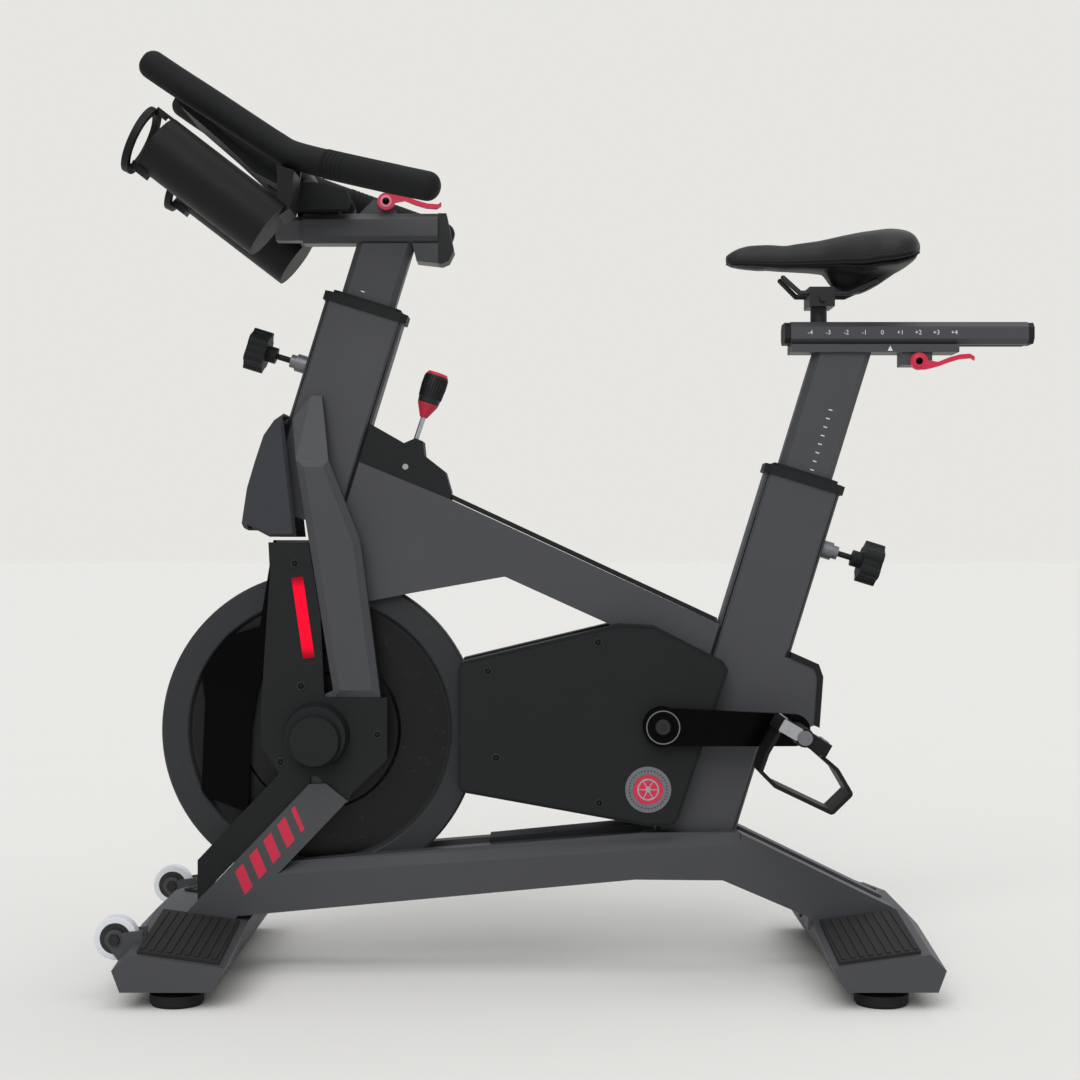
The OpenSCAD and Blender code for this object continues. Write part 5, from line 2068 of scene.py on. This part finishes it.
@dataclass
class Badge:
    """Plain round badge on the left guard: a ring, an enamel field and a spoked wheel."""

    centre: tuple[float, float] = (91.0, 245.0)
    face_y: float = -62.0
    radius: float = 30.5

    def _ring(self, inner: float, outer: float, low: float, high: float, sides: int = 72) -> tuple[
        list[Point], list[list[int]]
    ]:
        """A flat ring on the guard, from low to high above its face.

        Args:
            inner: inner radius in millimetres.
            outer: outer radius in millimetres.
            low: the lower end.
            high: the upper end.
            sides: how many sides it has.

        Returns:
            Points and faces.
        """
        x0, z0 = self.centre
        edge = min(0.35, (high - low) * 0.6)
        section = [(inner, low), (outer, low), (outer, high - edge), (outer - edge, high),
                   (inner + edge, high), (inner, high - edge)]
        points = [
            mm(x0 + r * math.cos(math.tau * k / sides), self.face_y - y,
               z0 + r * math.sin(math.tau * k / sides))
            for k in range(sides)
            for r, y in section
        ]
        return points, Sweep.turned_faces(len(section), sides)

    def build(self, repeats: Repeats) -> list[bpy.types.Object]:
        """Builds the badge.

        Args:
            repeats: the trees for the spokes and the beads.

        Returns:
            The pieces.
        """
        x0, z0 = self.centre
        rim = Piece.from_lists("badge_rim", *self._ring(19.5, self.radius, -0.4, 1.3), Coat.SATIN)
        field_ = Piece.from_lists("badge_field", *self._ring(0.6, 19.8, -0.4, 0.7), Coat.RED)
        wheel = Piece.from_lists("badge_wheel", *self._ring(12.2, 14.6, 0.4, 1.2), Coat.STEEL)
        hub = Piece.from_lists("badge_hub", *self._ring(0.4, 3.8, 0.4, 1.4), Coat.STEEL)
        spokes = repeats.place(
            "badge_spokes",
            Sweep.prism([(0.003, -0.0007), (0.0126, -0.0005), (0.0126, 0.0005), (0.003, 0.0007)],
                        -0.0011, -0.0004),
            [(mm(x0, self.face_y, z0), (0.0, math.tau * k / 6, 0.0)) for k in range(6)],
            Coat.STEEL,
        )
        beads = repeats.place(
            "badge_beads",
            Screws.washer(0.1, 0.9, 0.6, 10),
            [
                (mm(x0 + 25 * math.cos(math.tau * k / 36), self.face_y - 1.2,
                    z0 + 25 * math.sin(math.tau * k / 36)), (0.0, 0.0, 0.0))
                for k in range(36)
            ],
            Coat.DARK_METAL,
        )
        parts = [rim, field_, wheel, hub, spokes, beads]
        for part in parts:
            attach(part, "root")
        return parts


@dataclass
class Stripes:
    """Plain crimson stripes along both front struts."""

    foot: tuple[float, float] = (-447.0, 121.0)
    head: tuple[float, float] = (-359.0, 219.0)
    width: float = 30.0
    bars: tuple[float, ...] = (0.0, 0.21, 0.42, 0.63, 0.84)
    face_y: float = 60.0

    def build(self) -> list[bpy.types.Object]:
        """Builds the stripes on both struts.

        Returns:
            The pieces.
        """
        start, end = Vector(self.foot), Vector(self.head)
        along = (end - start).normalized()
        across = Vector((-along.y, along.x))
        length = (end - start).length
        parts: list[bpy.types.Object] = []
        for side, word in ((-1, "left"), (1, "right")):
            points: list[Point] = []
            faces: list[list[int]] = []
            for share in self.bars:
                a = start + along * length * share
                wide = along * length * (0.115 if share < 0.8 else 0.05)
                skew = along * 7
                quad = [
                    a - across * self.width / 2 - skew,
                    a + wide - across * self.width / 2 - skew,
                    a + wide + across * self.width / 2 + skew,
                    a + across * self.width / 2 + skew,
                ]
                near, far = side * (self.face_y - 0.05), side * (self.face_y + 0.18)
                more, more_faces = Sweep.prism(
                    [(q.x * MM, q.y * MM) for q in quad], min(near, far) * MM, max(near, far) * MM
                )
                shift = len(points)
                points += more
                faces += [[i + shift for i in f] for f in more_faces]
            parts.append(
                Piece.from_lists(f"strut_stripes_{word}", points, faces, Coat.RED_INK)
            )
        for part in parts:
            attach(part, "root")
        return parts


@dataclass
class KnobRibs:
    """Raised ribs round the black body of the brake lever's knob."""

    pivot: Point = (-231.5, 0.0, 672.0)
    lean: float = 18.5
    count: int = 24

    def build(self, repeats: Repeats) -> bpy.types.Object:
        """Builds the ribs.

        Args:
            repeats: the tree that puts a shape at places.

        Returns:
            The ribs.
        """
        tilt = Matrix.Rotation(math.radians(self.lean), 4, "Y")
        home = Matrix.Translation(Vector(self.pivot) * MM)
        places: list[tuple[Point, Point]] = []
        for k in range(self.count):
            spin = Matrix.Rotation(math.tau * k / self.count, 4, "Z")
            whole = home @ tilt @ spin
            places.append((tuple(whole.translation), tuple(whole.to_euler())))
        rib = Sweep.prism(
            [mm(14.0, 0, 97)[::2], mm(15.9, 0, 99)[::2], mm(17.1, 0, 115)[::2],
             mm(16.7, 0, 127)[::2], mm(14.5, 0, 129.5)[::2]], -0.0007, 0.0007,
        )
        made = repeats.place("lever_knob_ribs", rib, places, Coat.FINE_PLASTIC)
        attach(made, "resistance_body")
        return made


@dataclass
class StarKnobTrim:
    """Caps of the star knobs, and the discs and rims in the hubs of the clamp levers."""

    lean: float = 17.2

    def _spin(self, section: Sequence[tuple[float, float]], sides: int = 40) -> tuple[
        list[Point], list[list[int]]
    ]:
        """A section of radius and height turned round Z, closed on the axis or as a ring.

        Args:
            section: pairs of radius and height in millimetres.
            sides: how many sides it has.

        Returns:
            Points and faces.
        """
        points = [
            mm(r * math.cos(math.tau * k / sides), r * math.sin(math.tau * k / sides), h)
            for k in range(sides)
            for r, h in section
        ]
        return points, Sweep.turned_faces(len(section), sides)

    def cap(self, name: str, body: str, box: tuple[Vector, Vector], way: float) -> None:
        """A moulded cap in the face of a star knob.

        Args:
            name: the piece's name.
            body: the body of the knob.
            box: lowest and highest corner of the knob's node.
            way: -1 forwards, 1 backwards.
        """
        low, high = box
        tilt = Matrix.Rotation(math.radians(self.lean + 90 * way), 4, "Y")
        disc = Vector(((low.x + 0.0215) if way < 0 else (high.x - 0.0215), 0,
                       (high.z - 0.0312) if way < 0 else (low.z + 0.0312)))
        matrix = Matrix.Translation(disc) @ tilt
        shape, faces = self._spin([(0.3, 11.5), (8.6, 11.5), (8.6, 12.6), (7.8, 13.2), (0.3, 13.6)])
        points = [tuple(matrix @ Vector(p)) for p in shape]
        made = Piece.from_lists(name, points, faces, Coat.FINE_PLASTIC)
        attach(made, body)

    def hubs(self) -> None:
        """Discs and rims in the hubs of the two clamp levers."""
        for name, body, hub, y, reach, coat in (
            ("seat_lever_disc", "seat_lever_body", (455.0, 813.0), -28.3, 4.6, Coat.GLOSS),
            ("bar_lever_disc", "bar_lever_body", (-258.0, 1028.0), -19.3, 4.6, Coat.GLOSS),
            ("seat_lever_rim", "seat_lever_body", (455.0, 813.0), -28.3, 8.2, Coat.RED),
            # The bar lever's rim takes the painted highlight, a paler copy of the red plastic.
            ("bar_lever_rim", "bar_lever_body", (-258.0, 1028.0), -19.3, 8.2, Coat.PINK),
        ):
            inner = 0.4 if reach < 5 else 4.9
            section = [(inner, 0.0), (reach, 0.0), (reach, 0.7), (reach - 0.6, 1.1), (inner, 1.1)]
            points, faces = self._spin(section)
            placed = [(p[0] + hub[0] * MM, y * MM - p[2], p[1] + hub[1] * MM) for p in points]
            made = Piece.from_lists(name, placed, faces, coat)
            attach(made, body)

    def build(self) -> None:
        """Builds the trim."""
        self.cap("front_knob_cap", "front_pin_body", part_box("front_knob"), -1)
        self.cap("rear_knob_cap", "rear_pin_body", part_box("rear_knob"), 1)
        self.hubs()


@dataclass
class PedalTrim:
    """Bright end plates, nuts and traction pins of the pedals."""

    tilt: float = 30.0
    left_x: float = 281.5
    right_x: float = -62.5
    height: float = 325.0

    def _block(self, name: str, x: float, side: float, body: str) -> None:
        """The bright plate and the nut at the pedal's outer end.

        Args:
            name: start of the pieces' names.
            x: pedal axis.
            side: -1 left, 1 right.
            body: the pedal's body.
        """
        turn = Matrix.Rotation(math.radians(self.tilt), 4, "Y")
        home = Matrix.Translation(Vector(mm(x, 0, self.height)))

        def box(lows: Point, highs: Point) -> tuple[list[Point], list[list[int]]]:
            """A box with chamfered long edges in the pedal's own frame.

            Args:
                lows: the lowest corner in millimetres.
                highs: the highest corner in millimetres.

            Returns:
                Points and faces.
            """
            (x0, y0, z0), (x1, y1, z1) = lows, highs
            c = 1.2
            outline = [(x0 + c, z0), (x1 - c, z0), (x1, z0 + c), (x1, z1 - c), (x1 - c, z1),
                       (x0 + c, z1), (x0, z1 - c), (x0, z0 + c)]
            return Sweep.prism([(px * MM, pz * MM) for px, pz in outline], y0 * MM, y1 * MM)

        ys = sorted((side * 181.4, side * 179.6))
        plate, plate_faces = box((-34, ys[0], -8.4), (-7, ys[1], 8.4))
        parts = [(f"{name}_end_plate", plate, plate_faces, Coat.STEEL)]
        ys = sorted((side * 184.0, side * 179.6))
        nut, nut_faces = Sweep.prism(
            [(9.5 * MM * math.cos(math.tau * k / 24), 9.5 * MM * math.sin(math.tau * k / 24))
             for k in range(24)], ys[0] * MM, ys[1] * MM,
        )
        parts.append((f"{name}_end_nut", nut, nut_faces, Coat.SATIN))
        for label, points, faces, coat in parts:
            placed = [tuple(home @ turn @ Vector(p)) for p in points]
            made = Piece.from_lists(label, placed, faces, coat)
            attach(made, body)

    def pins(self, repeats: Repeats, name: str, x: float, side: float, body: str) -> None:
        """Small traction pins on both faces of the pedal.

        Args:
            repeats: the tree that puts a shape at places.
            name: the piece's name.
            x: pedal axis.
            side: -1 left, 1 right.
            body: the pedal's body.
        """
        turn = Matrix.Rotation(math.radians(self.tilt), 4, "Y")
        home = Matrix.Translation(Vector(mm(x, 0, self.height)))
        places: list[tuple[Point, Point]] = []
        for px in (-30.0, 30.0):
            for k in range(7):
                for up in (-1.0, 1.0):
                    flip = Matrix.Rotation(0.0 if up > 0 else math.pi, 4, "X")
                    spot = Matrix.Translation(Vector(mm(px, side * (101 + k * 11.5), up * 9)))
                    whole = home @ turn @ spot @ flip
                    places.append((tuple(whole.translation), tuple(whole.to_euler())))
        pin = Sweep.tube(
            np.array([[0, 0, -0.4], [0, 0, 0.6], [0, 0, 1.4], [0, 0, 1.6]]) * MM,
            lambda t: (1.5 if t < 0.5 else 1.1) * MM,
            8,
        )
        made = repeats.place(name, pin, places, Coat.SATIN)
        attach(made, body)

    def build(self, repeats: Repeats) -> None:
        """Builds both pedals' trim.

        Args:
            repeats: the trees for the pins.
        """
        self._block("pedal_left", self.left_x, -1, "pedal_left_body")
        self._block("pedal_right", self.right_x, 1, "pedal_right_body")
        self.pins(repeats, "pedal_pins_left", self.left_x, -1, "pedal_left_body")
        self.pins(repeats, "pedal_pins_right", self.right_x, 1, "pedal_right_body")


@dataclass
class CrankTrim:
    """Chromed ring and bolt in the boss of each crank arm."""

    centre: tuple[float, float] = (109.5, 329.0)

    def build(self) -> None:
        """Builds the ring and the bolt on both sides."""
        x0, z0 = self.centre
        sides = 56
        for side, word in ((-1, "left"), (1, "right")):
            for label, coat, section in (
                ("ring", Coat.SATIN, [(20.6, 84.0), (22.4, 84.0), (22.2, 84.6), (20.8, 84.6)]),
                ("bolt", Coat.DARK_METAL, [(0.4, 80.1), (10.5, 80.1), (10.5, 82.2), (9.4, 83.2),
                                           (4.2, 83.2), (4.0, 81.4), (0.4, 81.4)]),
            ):
                points = [
                    mm(x0 + r * math.cos(math.tau * k / sides), side * y,
                       z0 + r * math.sin(math.tau * k / sides))
                    for k in range(sides)
                    for r, y in section
                ]
                faces = Sweep.turned_faces(len(section), sides)
                made = Piece.from_lists(f"crank_{label}_{word}", points, faces, coat)
                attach(made, "crank_body")
                "steel" if label == "ring" else "black_metal"


# ---- Studio ------------------------------------------------------------------------------------


@dataclass
class Studio:
    """Pale floor, soft light and the camera level with the middle of the bike."""

    camera_at: Point = (-0.0515, -2.6, 0.574)
    lens: float = 64.2
    floor_half: float = 45.0

    def build(self) -> None:
        """Builds floor, world, lights and camera."""
        scene = bpy.context.scene
        scene.view_settings.view_transform = "Standard"
        scene.view_settings.look = "None"
        self._floor()
        self._world(scene)
        self._sun("key", (math.radians(52), 0.0, math.radians(-12)), 1.5, 42)
        self._sun("top", (math.radians(8), 0.0, math.radians(20)), 1.05, 70)
        self._sun("fill", (math.radians(52), 0.0, math.radians(140)), 0.5, 90)
        lens = bpy.data.cameras.new("camera")
        lens.lens, lens.sensor_width = self.lens, 36.0
        lens.clip_start, lens.clip_end = 0.05, 200.0
        camera = bpy.data.objects.new("camera", lens)
        camera.location = self.camera_at
        camera.rotation_euler = (math.pi / 2, 0.0, 0.0)
        scene.collection.objects.link(camera)
        scene.camera = camera

    def _floor(self) -> None:
        """A wide pale floor."""
        half = self.floor_half
        mesh = bpy.data.meshes.new("floor")
        mesh.from_pydata(
            [(-half, -half, 0), (half, -half, 0), (half, half, 0), (-half, half, 0)], [],
            [(0, 1, 2, 3)],
        )
        floor = bpy.data.objects.new("floor", mesh)
        bpy.context.scene.collection.objects.link(floor)
        shade = Shade("pale_floor")
        cloud = shade.noise(3, 3)
        mesh.materials.append(
            shade.surface(
                Base_Color=shade.mix(cloud, (0.715, 0.708, 0.684, 1), (0.725, 0.718, 0.694, 1)),
                Roughness=0.95,
                Specular_IOR_Level=0.0,
            )
        )
        floor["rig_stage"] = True

    @staticmethod
    def _world(scene: bpy.types.Scene) -> None:
        """An even pale surround that lights less than it shows.

        Args:
            scene: the scene.
        """
        world = bpy.data.worlds.new("studio")
        world.use_nodes = True
        shade = Shade("studio", world.node_tree)
        seen = shade.node(
            "ShaderNodeBackground", sockets={"Color": (0.799, 0.791, 0.760, 1), "Strength": 1.0}
        )
        light = shade.node(
            "ShaderNodeBackground", sockets={"Color": (0.97, 0.98, 1.0, 1), "Strength": 0.42}
        )
        path = shade.node("ShaderNodeLightPath")
        pick = shade.node(
            "ShaderNodeMixShader",
            sockets={0: shade.out(path, "Is Camera Ray"), 1: shade.out(light), 2: shade.out(seen)},
        )
        shade.node("ShaderNodeOutputWorld", sockets={"Surface": shade.out(pick)})
        scene.world = world

    @staticmethod
    def _sun(name: str, turn: Point, power: float, soft: float) -> None:
        """A very soft distant light.

        Args:
            name: the light's name.
            turn: its turn in radians.
            power: its strength.
            soft: its angle in degrees.
        """
        data = bpy.data.lights.new(name, "SUN")
        data.energy, data.angle = power, math.radians(soft)
        lamp = bpy.data.objects.new(name, data)
        lamp.rotation_euler = turn
        bpy.context.scene.collection.objects.link(lamp)


def report(names: Iterable[str]) -> None:
    """Logs the pieces that were made.

    Args:
        names: the pieces' names.
    """
    for name in sorted(names):
        LOG.info("piece %s", name)


def main() -> None:
    """Builds the bike's looks in order."""
    logging.basicConfig(level=logging.INFO, format="%(name)s: %(message)s")
    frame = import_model()
    Studio().build()
    FrameDress().dress(frame["nodes"])
    repeats = Repeats()
    saddle = Saddle()
    saddle.ride(saddle.build(repeats))
    grips = Grips()
    grips.ride(grips.build(repeats))
    Treads().build(frame["nodes"]["tread_pads"], repeats)
    Scales().build(repeats)
    Screws().build(repeats)
    Badge().build(repeats)
    Stripes().build()
    KnobRibs().build(repeats)
    StarKnobTrim().build()
    PedalTrim().build(repeats)
    CrankTrim().build()
    report(o.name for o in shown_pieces() if "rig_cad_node" not in o)


if __name__ == "__main__":
    main()
